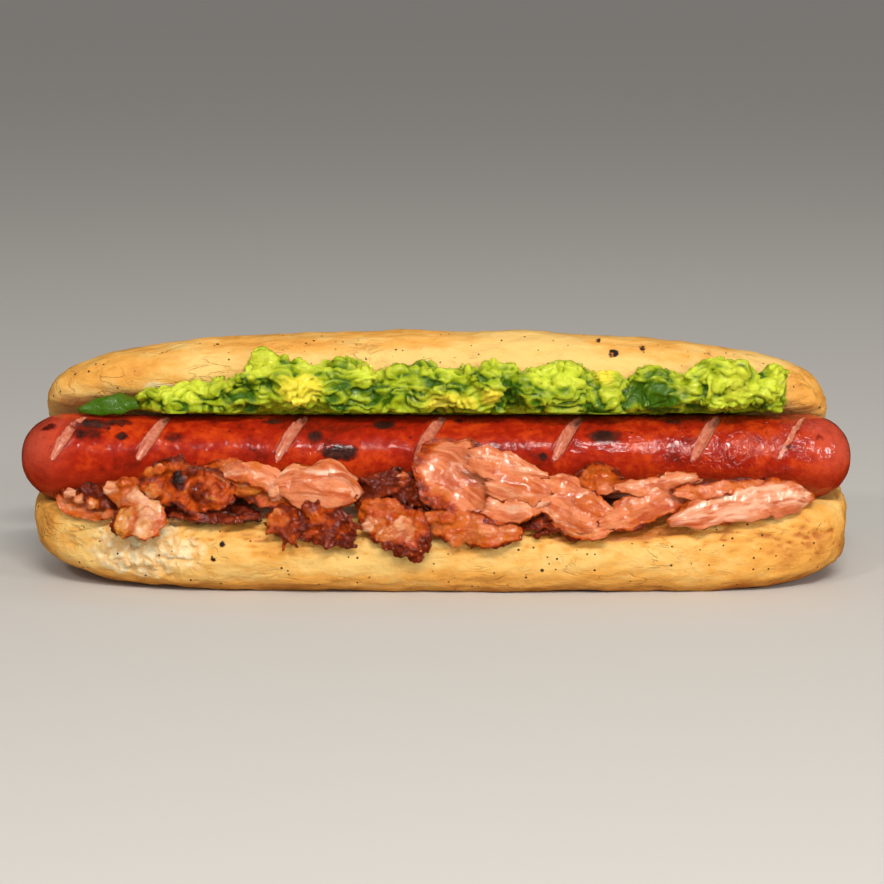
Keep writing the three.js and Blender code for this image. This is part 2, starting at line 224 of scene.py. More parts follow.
def finish_piece(name, bm, material, nodes, values=None, colours=None):
    """Makes the finished object of a piece, in the row frame, with its point values and colours."""
    for vert in bm.verts:
        vert.co = (vert.co + SHIFT) * MM
    mesh = bpy.data.meshes.new(name)
    bm.to_mesh(mesh)
    bm.free()
    mesh.shade_smooth()
    for label, numbers in (values or {}).items():
        mesh.attributes.new(label, "FLOAT", "POINT").data.foreach_set("value", numbers)
    for label, numbers in (colours or {}).items():
        flat = [part for colour in numbers for part in colour]
        mesh.attributes.new(label, "FLOAT_COLOR", "POINT").data.foreach_set("color", flat)
    obj = bpy.data.objects.new(name, mesh)
    bpy.context.scene.collection.objects.link(obj)
    mesh.materials.append(material)
    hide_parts(*nodes)
    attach(obj, "root")
    return obj


# Finishes


class Finish:
    """A material being made: its pattern nodes, and the shader that they feed."""

    def __init__(self, name):
        self.material = bpy.data.materials.new(name)
        self.material.use_nodes = True
        self.tree = self.material.node_tree
        self.shader = self.tree.nodes["Principled BSDF"]
        self.object_coords = self.tree.nodes.new("ShaderNodeTexCoord").outputs["Object"]

    def add(self, kind, inputs, **settings):
        """Adds a node, with values or links for its inputs."""
        node = self.tree.nodes.new(kind)
        for key, value in settings.items():
            setattr(node, key, value)
        for key, value in inputs.items():
            self.feed(node.inputs[key], value)
        return node

    def feed(self, socket, value):
        """Links an output to a socket, or sets the socket's value; a colour has three parts."""
        if isinstance(value, bpy.types.NodeSocket):
            self.tree.links.new(value, socket)
        elif socket.type == "RGBA":
            socket.default_value = (*value, 1.0)
        else:
            socket.default_value = value

    def constants(self, **values):
        """Sets the shader's own sockets, named with underscores for spaces."""
        for key, value in values.items():
            self.shader.inputs[key.replace("_", " ")].default_value = value

    def coords(self, size, stretch=(1, 1, 1), offset=0.0, source=None):
        """Coordinates on which a pattern repeats about every size millimetres, drawn out by stretch."""
        scale = tuple(1 / (size * MM * s) for s in stretch)
        start = source or self.object_coords
        inputs = {"Vector": start, "Location": (offset, offset, offset), "Scale": scale}
        return self.add("ShaderNodeMapping", inputs).outputs[0]

    def noise(self, size, detail=3.0, roughness=0.55, stretch=(1, 1, 1), offset=0.0, distortion=0.0, source=None):
        """Cloudy noise from 0 to 1."""
        vector = self.coords(size, stretch, offset, source)
        inputs = {"Vector": vector, "Scale": 1.0, "Detail": detail, "Roughness": roughness, "Distortion": distortion}
        return self.add("ShaderNodeTexNoise", inputs).outputs["Fac"]

    def cells(self, size, stretch=(1, 1, 1), offset=0.0, source=None):
        """The distance from the middle of the nearest random cell, and the cell's random value."""
        inputs = {"Vector": self.coords(size, stretch, offset, source), "Scale": 1.0}
        node = self.add("ShaderNodeTexVoronoi", inputs)
        chance = self.add("ShaderNodeSeparateColor", {"Color": node.outputs["Color"]}).outputs[0]
        return node.outputs["Distance"], chance

    def specks(self, spacing, radius, share, offset=0.0):
        """Round specks of a radius, in a share of the random cells that are spacing apart."""
        distance, chance = self.cells(spacing, offset=offset)
        limit = self.times(chance, radius / spacing / share)
        dot = self.between(self.math("SUBTRACT", limit, distance), 0, 0.12 * radius / spacing)
        return self.times(dot, self.math("LESS_THAN", chance, share))

    def creases(self, size, width, stretch, offset=0.0):
        """1 along thin winding lines, falling to 0 beside them."""
        cloud = self.noise(size, detail=4, roughness=0.5, stretch=stretch, offset=offset, distortion=0.8)
        off = self.math("ABSOLUTE", self.math("SUBTRACT", cloud, 0.5))
        return self.between(off, width, 0.0)

    def cracks(self, size, width, stretch=(1, 1, 1)):
        """1 along the edges of random cells, falling to 0 inside them."""
        bent = self.add("ShaderNodeTexNoise", {"Vector": self.coords(size), "Scale": 1.3, "Detail": 2.0})
        inputs = {0: 0.35, 4: self.coords(size, stretch), 5: bent.outputs["Color"]}
        vector = self.add("ShaderNodeMix", inputs, data_type="VECTOR").outputs[1]
        node = self.add("ShaderNodeTexVoronoi", {"Vector": vector, "Scale": 1.0}, feature="DISTANCE_TO_EDGE")
        return self.between(node.outputs["Distance"], width, 0.0)

    def math(self, operation, first, second=0.0):
        """One arithmetic step."""
        return self.add("ShaderNodeMath", {0: first, 1: second}, operation=operation).outputs[0]

    def plus(self, first, second):
        """The sum of two values."""
        return self.math("ADD", first, second)

    def times(self, first, second):
        """The product of two values."""
        return self.math("MULTIPLY", first, second)

    def larger(self, first, second):
        """The larger of two values."""
        return self.math("MAXIMUM", first, second)

    def varied(self, value, pattern, amount):
        """A value, raised and lowered by a pattern that goes from 0 to 1."""
        return self.plus(value, self.times(self.math("SUBTRACT", pattern, 0.5), amount))

    def between(self, value, low, high, start=0.0, end=1.0):
        """Rises smoothly from start at low to end at high."""
        inputs = {"Value": value, "From Min": low, "From Max": high, "To Min": start, "To Max": end}
        return self.add("ShaderNodeMapRange", inputs, interpolation_type="SMOOTHSTEP").outputs[0]

    def blend(self, first, second, factor):
        """A colour between two others."""
        node = self.add("ShaderNodeMix", {0: factor, 6: first, 7: second}, data_type="RGBA")
        return node.outputs[2]

    def attribute(self, name):
        """A value held by the points of the mesh."""
        return self.add("ShaderNodeAttribute", {}, attribute_name=name).outputs["Fac"]

    def channels(self, name):
        """The three parts of a colour held by the points of the mesh."""
        colour = self.add("ShaderNodeAttribute", {}, attribute_name=name).outputs["Color"]
        return self.add("ShaderNodeSeparateColor", {"Color": colour}).outputs[:3]

    def bump(self, height, depth, strength=1.0, normal=None):
        """Relief of a depth in millimetres."""
        inputs = {"Height": height, "Distance": depth * MM, "Strength": strength}
        if normal:
            inputs["Normal"] = normal
        return self.add("ShaderNodeBump", inputs).outputs[0]


def bread_finish(colours):
    """Baked crust, from pale sides to a browned top, with open crumb on the cut faces and black specks, and painted
    shade in the cracks of the torn patch and along the grooves of the rim's folds.
    """
    f = Finish("bread_crust")
    bake_and_crease_shade, crumb, torn, char = (f.attribute(name) for name in ("bake_and_crease_shade", "crumb", "torn", "char"))
    cloud = f.noise(17, detail=6, roughness=0.6, stretch=(1.8, 1, 1))
    blotch = f.noise(4.5, detail=5, roughness=0.6, offset=3.1, stretch=(1.6, 1, 1))
    wrinkle = f.noise(3.0, detail=6, roughness=0.58, stretch=(1.9, 1, 1), distortion=0.9)
    creases = f.times(f.creases(5, 0.03, (2.6, 1, 1)), f.between(f.noise(12, offset=4), 0.5, 0.7))
    level = f.varied(bake_and_crease_shade, cloud, 1.5)
    level = f.varied(level, blotch, 1.1)
    level = f.varied(level, wrinkle, -0.6)
    crust = f.blend(colours.crust_pale, colours.crust_golden, f.between(level, 0.02, 0.62))
    crust = f.blend(crust, colours.crust_brown, f.between(level, 0.5, 1.2))
    pores_near, pore_chance = f.cells(1.5, stretch=(1.3, 1, 1))
    pore = f.times(f.between(pores_near, 0.35, 0.1), f.between(pore_chance, 0.3, 0.7))
    pore = f.times(pore, crumb)
    soft = f.blend(colours.crumb, colours.crumb_shade, f.times(pore, 0.7))
    pale = f.larger(crumb, f.times(torn, 0.7))
    ragged = f.varied(pale, f.noise(3.2, offset=7), 1.1)
    colour = f.blend(crust, soft, f.between(ragged, 0.3, 0.75))
    crack_and_its_shade = f.times(f.cracks(2.9, 0.22), f.between(f.times(torn, cloud), 0.1, 0.4))
    # Painted shade: the cracks of the torn patch are tinted darker golden.
    colour = f.blend(colour, colours.crust_golden, f.times(crack_and_its_shade, 0.6))
    specks = f.larger(f.specks(4.8, 0.5, 0.5), f.specks(1.9, 0.36, 0.8, offset=5))
    burnt = f.varied(char, f.noise(1.1, detail=5, offset=11), 1.7)
    scorched = f.blend(colour, colours.crust_brown, f.times(f.between(burnt, 0.1, 0.7), char))
    colour = f.blend(scorched, colours.char, f.times(f.between(burnt, 0.5, 0.85), f.between(char, 0, 0.3)))
    colour = f.blend(colour, colours.char, f.times(specks, 0.92))
    f.feed(f.shader.inputs["Base Color"], colour)
    f.feed(f.shader.inputs["Roughness"], f.between(level, 0.0, 1.1, 0.55, 0.36))
    f.constants(Subsurface_Weight=0.05, Subsurface_Radius=(1.0, 0.6, 0.3), Subsurface_Scale=0.001)
    f.constants(Specular_IOR_Level=0.25)
    skin = f.bump(blotch, 0.35, normal=f.bump(wrinkle, 0.5))
    skin = f.bump(f.larger(creases, crack_and_its_shade), -0.3, normal=skin)
    skin = f.bump(f.noise(0.9, detail=3, offset=2), 0.1, normal=skin)
    pits = f.times(pore, f.between(pale, 0.2, 0.8))
    skin = f.bump(f.math("SUBTRACT", 1.0, pits), 0.6, normal=skin)
    f.feed(f.shader.inputs["Normal"], skin)
    return f.material


def sausage_finish(colours):
    """Glossy grilled casing, mottled red to orange, with char, painted shade on its underside, a painted pink sheen on
    the upper side of its ends, and fibrous pink meat in the scores.
    """
    f = Finish("sausage_skin")
    flesh, char, end, under, pucker = (f.attribute(name) for name in SAUSAGE_MARKS)
    cloud = f.noise(9, detail=6, roughness=0.65, stretch=(1.6, 1, 1), distortion=0.4)
    fine = f.noise(2.2, detail=5, offset=4)
    level = f.varied(cloud, fine, 0.5)
    skin = f.blend(colours.skin_dark, colours.skin_red, f.between(level, 0.3, 0.47))
    skin = f.blend(skin, colours.skin_orange, f.between(level, 0.45, 0.66))
    # Painted shade: the casing turns a darker red-brown where it faces down.
    skin = f.blend(skin, colours.skin_underside_shade, f.times(under, 0.6))
    # Painted sheen: the upper side of each end is tinted pink.
    skin = f.blend(skin, colours.skin_end_sheen, f.times(end, f.between(cloud, 0.2, 0.6, 0.4, 0.9)))
    fibre = f.noise(1.1, detail=3, offset=9)
    meat = f.blend(colours.meat_pink, colours.meat_pale, f.between(fibre, 0.2, 0.85))
    skin = f.blend(skin, colours.skin_dark, f.between(flesh, 0.0, 0.3, 0.0, 0.7))
    colour = f.blend(skin, meat, f.between(f.varied(flesh, fibre, 0.5), 0.35, 0.7))
    burnt = f.varied(char, f.noise(1.8, detail=6, roughness=0.65, offset=6), 1.7)
    scorched = f.blend(colour, colours.skin_dark, f.times(f.between(burnt, 0.1, 0.6), f.between(char, 0, 0.2)))
    brown = f.blend(colours.char, colours.char_brown, f.between(fine, 0.42, 0.66))
    colour = f.blend(scorched, brown, f.times(f.between(burnt, 0.42, 0.95), 0.88))
    specks = f.larger(f.specks(4.2, 0.5, 0.5, offset=2), f.specks(2.1, 0.36, 0.4, offset=8))
    colour = f.blend(colour, colours.char, f.times(specks, 0.8))
    f.feed(f.shader.inputs["Base Color"], colour)
    f.feed(f.shader.inputs["Roughness"], f.between(fine, 0.3, 0.7, 0.24, 0.42))
    gloss = f.larger(f.between(pucker, 0.3, 0.7, 0.22, 1.0), f.larger(flesh, end))
    f.feed(f.shader.inputs["Coat Weight"], gloss)
    f.constants(Subsurface_Weight=0.0, Coat_Roughness=0.07, Specular_IOR_Level=0.05)
    wet = f.bump(f.times(f.creases(3.4, 0.12, (0.7, 1, 1), offset=5), f.between(pucker, 0.4, 0.8)), 0.1)
    wet = f.bump(f.times(f.noise(1.6, detail=2, roughness=0.5, distortion=1.4), pucker), 0.3, normal=wet)
    wet = f.bump(f.times(fibre, flesh), 0.06, normal=wet)
    f.feed(f.shader.inputs["Coat Normal"], wet)
    f.feed(f.shader.inputs["Normal"], f.bump(f.noise(0.6, detail=3, offset=1), 0.08, normal=wet))
    return f.material


def avocado_finish(colours):
    """Moist mash, from deep green to pale green and yellow flesh, with painted shade in its folds and painted light on
    its crests.
    """
    f = Finish("avocado_flesh")
    yellow, light, deep = f.channels("mash")
    fine = f.noise(1.5, detail=5, roughness=0.65)
    broad = f.noise(6, detail=4, offset=5, stretch=(1.5, 1, 1))
    # Painted light: paler where the mash's crests and upward faces are.
    pale_and_lit = f.between(f.varied(light, fine, 0.7), 0.15, 0.95)
    base = f.blend(colours.avocado_green, colours.avocado_pale_and_lit_crests, pale_and_lit)
    base = f.blend(base, colours.avocado_olive, f.between(broad, 0.5, 0.72, 0.0, 0.6))
    # Painted shade: deep green in the mash's hollows.
    base = f.blend(base, colours.avocado_deep_and_fold_shade, f.between(f.varied(deep, fine, 0.7), 0.2, 0.9))
    base = f.blend(base, colours.avocado_yellow, f.between(f.varied(yellow, fine, 0.7), 0.1, 1.1))
    f.feed(f.shader.inputs["Base Color"], base)
    f.feed(f.shader.inputs["Roughness"], f.between(fine, 0.3, 0.7, 0.25, 0.42))
    f.constants(Subsurface_Weight=0.08, Subsurface_Radius=(0.8, 1.0, 0.25), Subsurface_Scale=0.0008)
    f.constants(Coat_Weight=0.45, Coat_Roughness=0.09, Specular_IOR_Level=0.25)
    wet = f.bump(f.noise(1.6, detail=3, roughness=0.6, distortion=0.8), 0.35)
    f.feed(f.shader.inputs["Coat Normal"], wet)
    f.feed(f.shader.inputs["Normal"], f.bump(f.noise(0.8, detail=4, roughness=0.7), 0.2, normal=wet))
    return f.material


def bacon_finish(colours):
    """Grilled bacon: pink lean meat, pale or amber fat, crisp brown and charred edges, all greasy."""
    f = Finish("bacon_meat")
    crisp, fat, char = f.channels("meat")
    lay = f.add("ShaderNodeAttribute", {}, attribute_name="lay").outputs["Vector"]
    fibres = f.noise(1.3, detail=6, roughness=0.65, stretch=(4.5, 1, 1), distortion=0.5, source=lay)
    streaks = f.noise(2.4, detail=4, roughness=0.6, stretch=(3.4, 1, 1), offset=2.3, distortion=0.7, source=lay)
    mottle = f.noise(2.6, detail=6, roughness=0.65, offset=3)
    grit = f.noise(0.9, detail=4, roughness=0.6, offset=8)
    lean = f.blend(colours.lean_pink, colours.lean_red, f.between(streaks, 0.4, 0.68))
    glaze = f.noise(4.5, detail=4, roughness=0.6, offset=6)
    lean = f.blend(lean, colours.glaze, f.between(f.plus(glaze, f.times(crisp, 0.6)), 0.55, 0.82))
    marbled = f.varied(fat, fibres, 1.0)
    marbled = f.varied(marbled, streaks, -0.9)
    browning = f.varied(crisp, mottle, 1.0)
    tallow = f.blend(colours.fat_pale, colours.fat_amber, f.between(browning, 0.0, 0.6))
    fatty = f.between(marbled, 0.3, 0.85)
    colour = f.blend(lean, tallow, fatty)
    seared = f.varied(crisp, mottle, 1.5)
    sear = f.blend(colours.sear_orange, colours.sear_brown, f.between(seared, 0.55, 1.0))
    colour = f.blend(colour, sear, f.times(f.between(seared, 0.25, 0.75), f.between(fatty, 0, 1, 0.95, 0.4)))
    # The char channel also holds painted shade in the hollows of the strips.
    burnt = f.varied(char, grit, 1.2)
    colour = f.blend(colour, colours.char, f.times(f.between(burnt, 0.42, 0.8), 0.9))
    specks = f.specks(1.6, 0.17, 0.4, offset=4)
    colour = f.blend(colour, colours.char_brown, f.times(specks, 0.8))
    f.feed(f.shader.inputs["Base Color"], colour)
    f.feed(f.shader.inputs["Roughness"], f.between(grit, 0.3, 0.7, 0.2, 0.42))
    f.constants(Subsurface_Weight=0.08, Subsurface_Radius=(1.0, 0.4, 0.25), Subsurface_Scale=0.0008)
    f.constants(Coat_Weight=0.75, Coat_Roughness=0.08, Specular_IOR_Level=0.05)
    coarse = f.between(crisp, 0.1, 0.8, 0.3, 1.0)
    wet = f.noise(1.7, detail=3, roughness=0.55, offset=5, distortion=1.0)
    wet = f.bump(f.times(wet, coarse), 0.6)
    f.feed(f.shader.inputs["Coat Normal"], wet)
    wet = f.bump(fibres, 0.15, normal=wet)
    f.feed(f.shader.inputs["Normal"], f.bump(f.times(grit, coarse), 0.2, normal=wet))
    return f.material


def floor_finish():
    """Plain pale matt paper."""
    f = Finish("studio_paper")
    f.constants(Base_Color=(0.62, 0.61, 0.59, 1.0), Roughness=0.9, Specular_IOR_Level=0.1)
    return f.material


# Bun

LOWER_OUTLINE = [
    (0, -1.6), (-14, -1.5), (-21.5, -0.6), (-26.4, 3.1), (-28.3, 8.9), (-27.8, 13.8), (-25.2, 17.4), (-20.5, 19.2),
    (-13, 20), (-4, 20.4), (6, 20.6), (14, 22), (20, 24), (25.4, 23.6), (28.4, 18.4), (28.6, 10.8), (26.6, 3.6),
    (21.6, -0.6), (14, -1.5),
]
UPPER_OUTLINE = [
    (-8, -0.2), (-20, 0.3), (-32, 0.2), (-42, -0.6), (-46.2, 0.8), (-48, 5.2), (-46.6, 11.6), (-42.6, 16.4),
    (-35, 19.2), (-25, 20.2), (-14, 19.6), (-4, 16.6), (3, 11.4), (6.4, 5), (6.2, -0.6), (1, -2.4),
]
HINGE_Y = 20.0
HINGE_Z = 22.2
RIM_RISE = 3.6
UPPER_DROOP = (1.6, 3.2)
CRUST_VOXEL = 0.85
CRUST_MESH = (96, 150)  # sides and rings

# Where the crust is baked darker than its place calls for: centre, reach, and how much.
BAKED = [
    ((-86, 0, 56), (34, 40, 12), 0.6), ((-100, -5, 42), (12, 40, 16), 0.15), ((100, -5, 50), (16, 40, 16), 0.6),
    ((60, -5, 60), (34, 40, 7), 0.4), ((96, -18, 14), (26, 34, 15), 0.35), ((70, -24, 16), (22, 14, 9), 0.25),
    ((-103, -12, 15), (12, 30, 16), 0.6), ((44, -25, 16.6), (30, 9, 3.4), 1.1), ((0, -24, 4), (100, 8, 5), 0.4),
    ((-30, -5, 62), (60, 30, 5), 0.45),
]


def half_bun(length, outline, middle_x, ends_close_on, width_bluntness, height_bluntness, finish):
    """One half of the bun: a closed outline lofted along X and tapered, with a bluntness for each end."""
    end_y, end_z = ends_close_on
    rim_points = [Vector((0, y, z)) for y, z in outline]

    @functools.lru_cache(maxsize=None)
    def rim_at(turn):
        return curve_point(rim_points, turn, closed=True)

    def place(along, turn, at_pole):
        share = math.sin(along * math.pi / 2)
        rim = rim_at(round(turn, 6))
        end = 0 if share < 0 else 1
        across = 0 if at_pole else taper(share, width_bluntness[end])
        tall = 0 if at_pole else taper(share, height_bluntness[end])
        y = end_y + (rim.y - end_y) * across
        z = end_z + (rim.z - end_z) * tall
        point = Vector((middle_x + share * length / 2, y, z))
        lump = unevenness(point.x / 17, point.y / 12 + 5, point.z / 12)
        point.y += 0.55 * lump * across
        point.z += 0.45 * lump * tall
        return finish(point, share)

    return long_body(*CRUST_MESH, place)


def lower_half(sizes):
    """The half that the hot dog lies on."""

    def finish(point, share):
        at_rim = smoothstep(point.z, 10.4, 17.4)
        point.z += RIM_RISE * at_rim * smoothstep(abs(share), 0.45, 0.95)
        point.z = max(0.0, point.z)
        return point

    return half_bun(
        sizes.lower_length / MM, LOWER_OUTLINE, middle_x=0.95, ends_close_on=(2, 15.6),
        width_bluntness=(3.4, 4.2), height_bluntness=(3.2, 4.6), finish=finish,
    )


def swing(point, angle):
    """A point of the level upper half, swung open about the hinge."""
    y = point.y * math.cos(angle) + point.z * math.sin(angle)
    z = point.z * math.cos(angle) - point.y * math.sin(angle)
    return y, z


def upper_half(sizes):
    """The lifted half."""

    def finish(point, share):
        y, z = swing(point, sizes.open_angle)
        droop = UPPER_DROOP[0 if share < 0 else 1]
        fall = droop * smoothstep(abs(share), 0.1, 0.9) * smoothstep(z, 5, 30)
        return Vector((point.x, HINGE_Y + y, HINGE_Z + z - fall))

    return half_bun(
        sizes.upper_length / MM, UPPER_OUTLINE, middle_x=-0.05, ends_close_on=(-18, 5.5),
        width_bluntness=(4, 4), height_bluntness=(2.9, 4.6), finish=finish,
    )


def spot(point, centre, reach):
    """1 at the centre of a soft oval spot, falling to 0 at its reach."""
    squares = sum(((p - c) / r) ** 2 for p, c, r in zip(point, centre, reach))
    return 1 - smoothstep(math.sqrt(squares), 0.35, 1.0)


def strongest(point, spots):
    """The value at a point of the strongest of several soft oval spots."""
    return max(spot(point, centre, reach) for centre, reach in spots)


TORN_PATCH = ((-74, -26, 12), (25, 12, 13))
CRUST_BURNS = [
    ((-53, -28, 13.5), (1.4, 3, 1.3)), ((-55.5, -28, 9.5), (1.5, 3, 1)), ((-16.5, -28, 5), (0.8, 3, 0.8)),
    ((44.5, -13, 58.6), (2, 12, 1.5)), ((52, -13, 59.6), (1.9, 12, 1.2)), ((69, -13, 58.2), (2.3, 12, 1.6)),
    ((41, -7, 61.5), (1.5, 3, 1)), ((12, 18, 52), (3.4, 4, 3)), ((-40, 26, 40), (2.4, 4, 3)),
    ((64, 27, 34), (2, 4, 2)), ((-72, 29, 12), (1.6, 3, 1.6)), ((30, 29.5, 9), (1.4, 3, 1.4)),
]


def rim_crease(point):
    """1 along the folds of the crust that run beside the rim of the lower half, falling to 0 between them."""
    if point.y > -18:
        return 0.0
    near_rim = math.exp(-(((point.z - 15) / 4.2) ** 2))
    bend = noise.noise(Vector((point.x / 15, 2.0, point.z / 7)))
    return near_rim * ridges(Vector((point.x / 4.5, 3.0, point.z + 1.2 * bend)), 1.9) ** 4


def crust_relief(point):
    """How far the crust stands out of its smooth form, in millimetres."""
    broad = noise.noise(Vector((point.x / 15, point.y / 7, point.z / 7)))
    folds = noise.noise(Vector((point.x / 6 + 9, point.y / 2.2, point.z / 2.2)))
    wrinkles = noise.noise(Vector((point.x / 2.8 + 3, point.y / 1.5, point.z / 1.5)))
    relief = 0.5 * broad + 0.32 * folds + 0.16 * wrinkles
    relief -= 0.9 * rim_crease(point)
    torn = spot(point, *TORN_PATCH)
    if torn > 0:
        near = noise.voronoi(point / 4.4 + 0.4 * noise.noise_vector(point / 3))[0]
        relief += torn * (2.4 * min(0.45, near[1] - near[0]) - 0.5 + 0.5 * noise.noise(point / 1.3))
    return relief


def cut_face_share(point, normal, angle):
    """How much a point of the bun belongs to one of its two cut faces, from 0 to 1."""
    level_y = (point.y - HINGE_Y) * math.cos(angle) - (point.z - HINGE_Z) * math.sin(angle)
    level_z = (point.y - HINGE_Y) * math.sin(angle) + (point.z - HINGE_Z) * math.cos(angle)
    facing = normal.y * math.sin(angle) + normal.z * math.cos(angle)
    inside_x = 1 - smoothstep(abs(point.x), 62, 84)
    upper = smoothstep(-facing, 0.5, 0.85) * smoothstep(level_y, -45, -42)
    upper *= 1 - smoothstep(abs(level_z), 3.5, 5)
    lower = smoothstep(normal.z, 0.45, 0.8) * smoothstep(point.y, -22, -18.5)
    lower *= 1 - smoothstep(point.y, 16, 20)
    in_bed = smoothstep(math.hypot(point.y - SAUSAGE_Y, point.z - SAUSAGE_Z), 13.5, 11.6)
    lower *= smoothstep(point.z, 14, 17) * (1 - smoothstep(point.z, 27, 29))
    return clamp(max(upper, lower, in_bed)) * inside_x


def browning_and_crease_shade(point, normal, angle):
    """How browned the crust is: least on the sides, most on the top, the underside and the ends. It is also darker
    along the grooves of the folds beside the rim, which is painted shade.
    """
    above = normal.z * math.cos(angle) + normal.y * math.sin(angle)
    upper = point.z > HINGE_Z + 3
    top = 0.65 * smoothstep(above, 0.55, 1.0) if upper else 0.0
    under = 0.75 * smoothstep(-normal.z, 0.25, 0.95) if not upper else 0.0
    ends = 0.5 * smoothstep(abs(normal.x), 0.4, 0.95)
    right_side = 0.12 * smoothstep(point.x, 55, 85) * (1 - smoothstep(point.z, 8, 18))
    lower_tint = 0.16 if not upper else 0.0
    spots = max(much * spot(point, centre, reach) for centre, reach, much in BAKED)
    # Painted shade: the crust is browner along the grooves of the rim's folds.
    return clamp(max(top, under, ends, spots) + right_side + lower_tint + 0.7 * rim_crease(point), 0.0, 1.2)


# Sausage

SCORE_COUNT = 7
SCORE_PITCH = 34.6
END_SCORE_PITCH = 21.5
SCORE_MIDDLE_X = -1.5
SCORE_SLANT = math.radians(28)
SCORE_FACING = math.radians(45)
CAP_SHARE = 0.3
CASING_MESH = (150, 560)  # sides and rings
SAUSAGE_MARKS = ("flesh", "char", "end", "under", "pucker")

# Char on the casing: how far along X it lies in mm, how high round the front in degrees, its reach along X and
# round the casing in mm, and its strength.
SAUSAGE_BURNS = [
    (-86, 62, 6.5, 2.6, 0.9), (-80, 66, 4.5, 2, 0.8), (-87, 44, 5.5, 2.2, 0.75), (-78.6, 41, 1.7, 1.4, 1.1),
    (-30, 41, 2.6, 2.4, 0.85), (-24, 18, 5.4, 2.5, 1.2), (-13.1, 61, 3.6, 2.1, 1.15), (26.8, 12, 1.5, 1.2, 1.1),
    (42.3, 41, 4.9, 2.4, 1.05), (-41, 67, 3.2, 1.6, 0.9), (-66, 40, 3.6, 2, 0.62), (-97, 58, 2.4, 1.6, 0.75),
    (6, 70, 3, 1.4, 0.7), (60, 66, 3.4, 1.2, 0.75), (96, 40, 1.6, 1.2, 0.6), (88, 26, 2, 1, 0.55),
    (-60, 160, 7, 4, 1.0), (-8, 150, 6, 3.4, 1.1), (38, 165, 5, 3, 1.0), (74, 152, 6, 3, 1.05),
]


def score_places():
    """Where each score is centred along X, and its share of the full size."""
    last = (SCORE_COUNT - 1) // 2
    for place in range(-last, last + 1):
        if abs(place) == last:
            share = 0.8 if place < 0 else 0.4
            yield SCORE_MIDDLE_X + math.copysign((last - 1) * SCORE_PITCH + END_SCORE_PITCH, place), share
        else:
            yield SCORE_MIDDLE_X + place * SCORE_PITCH, 1.0


def score_at(x, facing, radius, sizes):
    """The depth of the nearest score at a place on the casing, its rim's height, and how far it is open flesh."""
    half_length = sizes.score_half_length / MM
    for middle, share in score_places():
        across_x = x - middle
        down = (SCORE_FACING - facing) * radius
        along = down * math.cos(SCORE_SLANT) - across_x * math.sin(SCORE_SLANT)
        across = across_x * math.cos(SCORE_SLANT) + down * math.sin(SCORE_SLANT)
        if abs(along) > half_length + 1.5 or abs(across) > 4:
            continue
        wander = 0.16 * noise.noise(Vector((along / 2.1, middle, 0)))
        inside = max(0.0, 1 - (along / half_length) ** 2)
        half_width = sizes.score_half_width / MM * share**0.8 * math.sqrt(inside) + 1e-3
        off = abs(across + wander) / half_width
        depth = sizes.score_depth / MM * share * inside**0.6 * max(0.0, 1 - off**2)
        rim = 0.3 * share * math.exp(-(((abs(across + wander) - half_width - 0.35) / 0.4) ** 2)) * inside**0.5
        return depth, rim, (1 - smoothstep(off, 0.85, 1.2)) * smoothstep(inside, 0.02, 0.2)
    return 0.0, 0.0, 0.0


def sausage_char(x, facing, radius):
    """How charred the casing is at a place."""
    burnt = 0.0
    for middle, height, reach_x, reach_round, strength in SAUSAGE_BURNS:
        round_way = (facing - math.radians(height)) * radius
        off = math.hypot((x - middle) / reach_x, round_way / reach_round)
        burnt = max(burnt, strength * (1 - smoothstep(off, 0.3, 1.25)))
    return burnt


def slant(x, facing, radius):
    """Where a place on the casing is moved to along X, so that the rings of the mesh lie along the scores."""
    off = (SCORE_FACING - facing + math.pi) % math.tau - math.pi
    back_and_forth = math.copysign(math.pi / 2 - abs(abs(off) - math.pi / 2), off)
    return x - math.tan(SCORE_SLANT) * radius * back_and_forth * (1 - smoothstep(abs(x), 82, 105))


def sausage_body(sizes):
    """The sausage's mesh, with the values of its marks."""
    full = sizes.sausage_length / MM
    thick = sizes.sausage_radius / MM
    straight = full / 2 - SAUSAGE_CAP
    marks = {}

    def place(along, turn, at_pole):
        out = abs(along)
        if out < 1 - CAP_SHARE:
            distance = out / (1 - CAP_SHARE) * straight
        else:
            distance = straight + SAUSAGE_CAP * math.sin((out - 1 + CAP_SHARE) / CAP_SHARE * math.pi / 2)
        y, z = math.cos(turn * math.tau), -math.sin(turn * math.tau)
        facing = math.atan2(z, -y)
        x = slant(math.copysign(distance, along), facing, thick)
        into_cap = math.asin(clamp((abs(x) - straight) / SAUSAGE_CAP))
        swell = 0.22 * unevenness(x / 23, 3.7, 0)
        radius = 0 if at_pole else (thick + swell) * math.cos(into_cap) ** 0.88
        depth, rim, flesh = score_at(x, facing, thick, sizes)
        body = min(1.0, radius / 4)
        lumps = noise.noise(Vector((x / 6, y * 2.2, z * 2.2)))
        puckers = noise.noise(Vector((x / 1.8 + 40, y * 6, z * 6)))
        right = smoothstep(x, 20, 80)
        radius += body * (0.16 * lumps + (0.08 + 0.08 * right) * puckers - depth + rim)
        point = Vector((x, SAUSAGE_Y + radius * y, SAUSAGE_Z + radius * z))
        # Painted sheen: the upper side of each rounded end, where its pink tint goes; it also raises the gloss there.
        end = smoothstep(abs(x), 88, 101) * smoothstep(facing, -0.5, 0.5)
        # Painted shade: how far the casing faces down, for its darker underside colour.
        under = smoothstep(-facing, -0.15, 0.5)
        pucker = (0.36 + 0.44 * right) * (1 - 0.5 * smoothstep(x, 90, 99))
        marks[tuple(round(c, 4) for c in point)] = (flesh, sausage_char(x, facing, thick), end, under, pucker)
        return point

    bm = long_body(*CASING_MESH, place)
    values = [marks[tuple(round(c, 4) for c in vert.co)] for vert in bm.verts]
    return bm, {name: [value[n] for value in values] for n, name in enumerate(SAUSAGE_MARKS)}


# Avocado

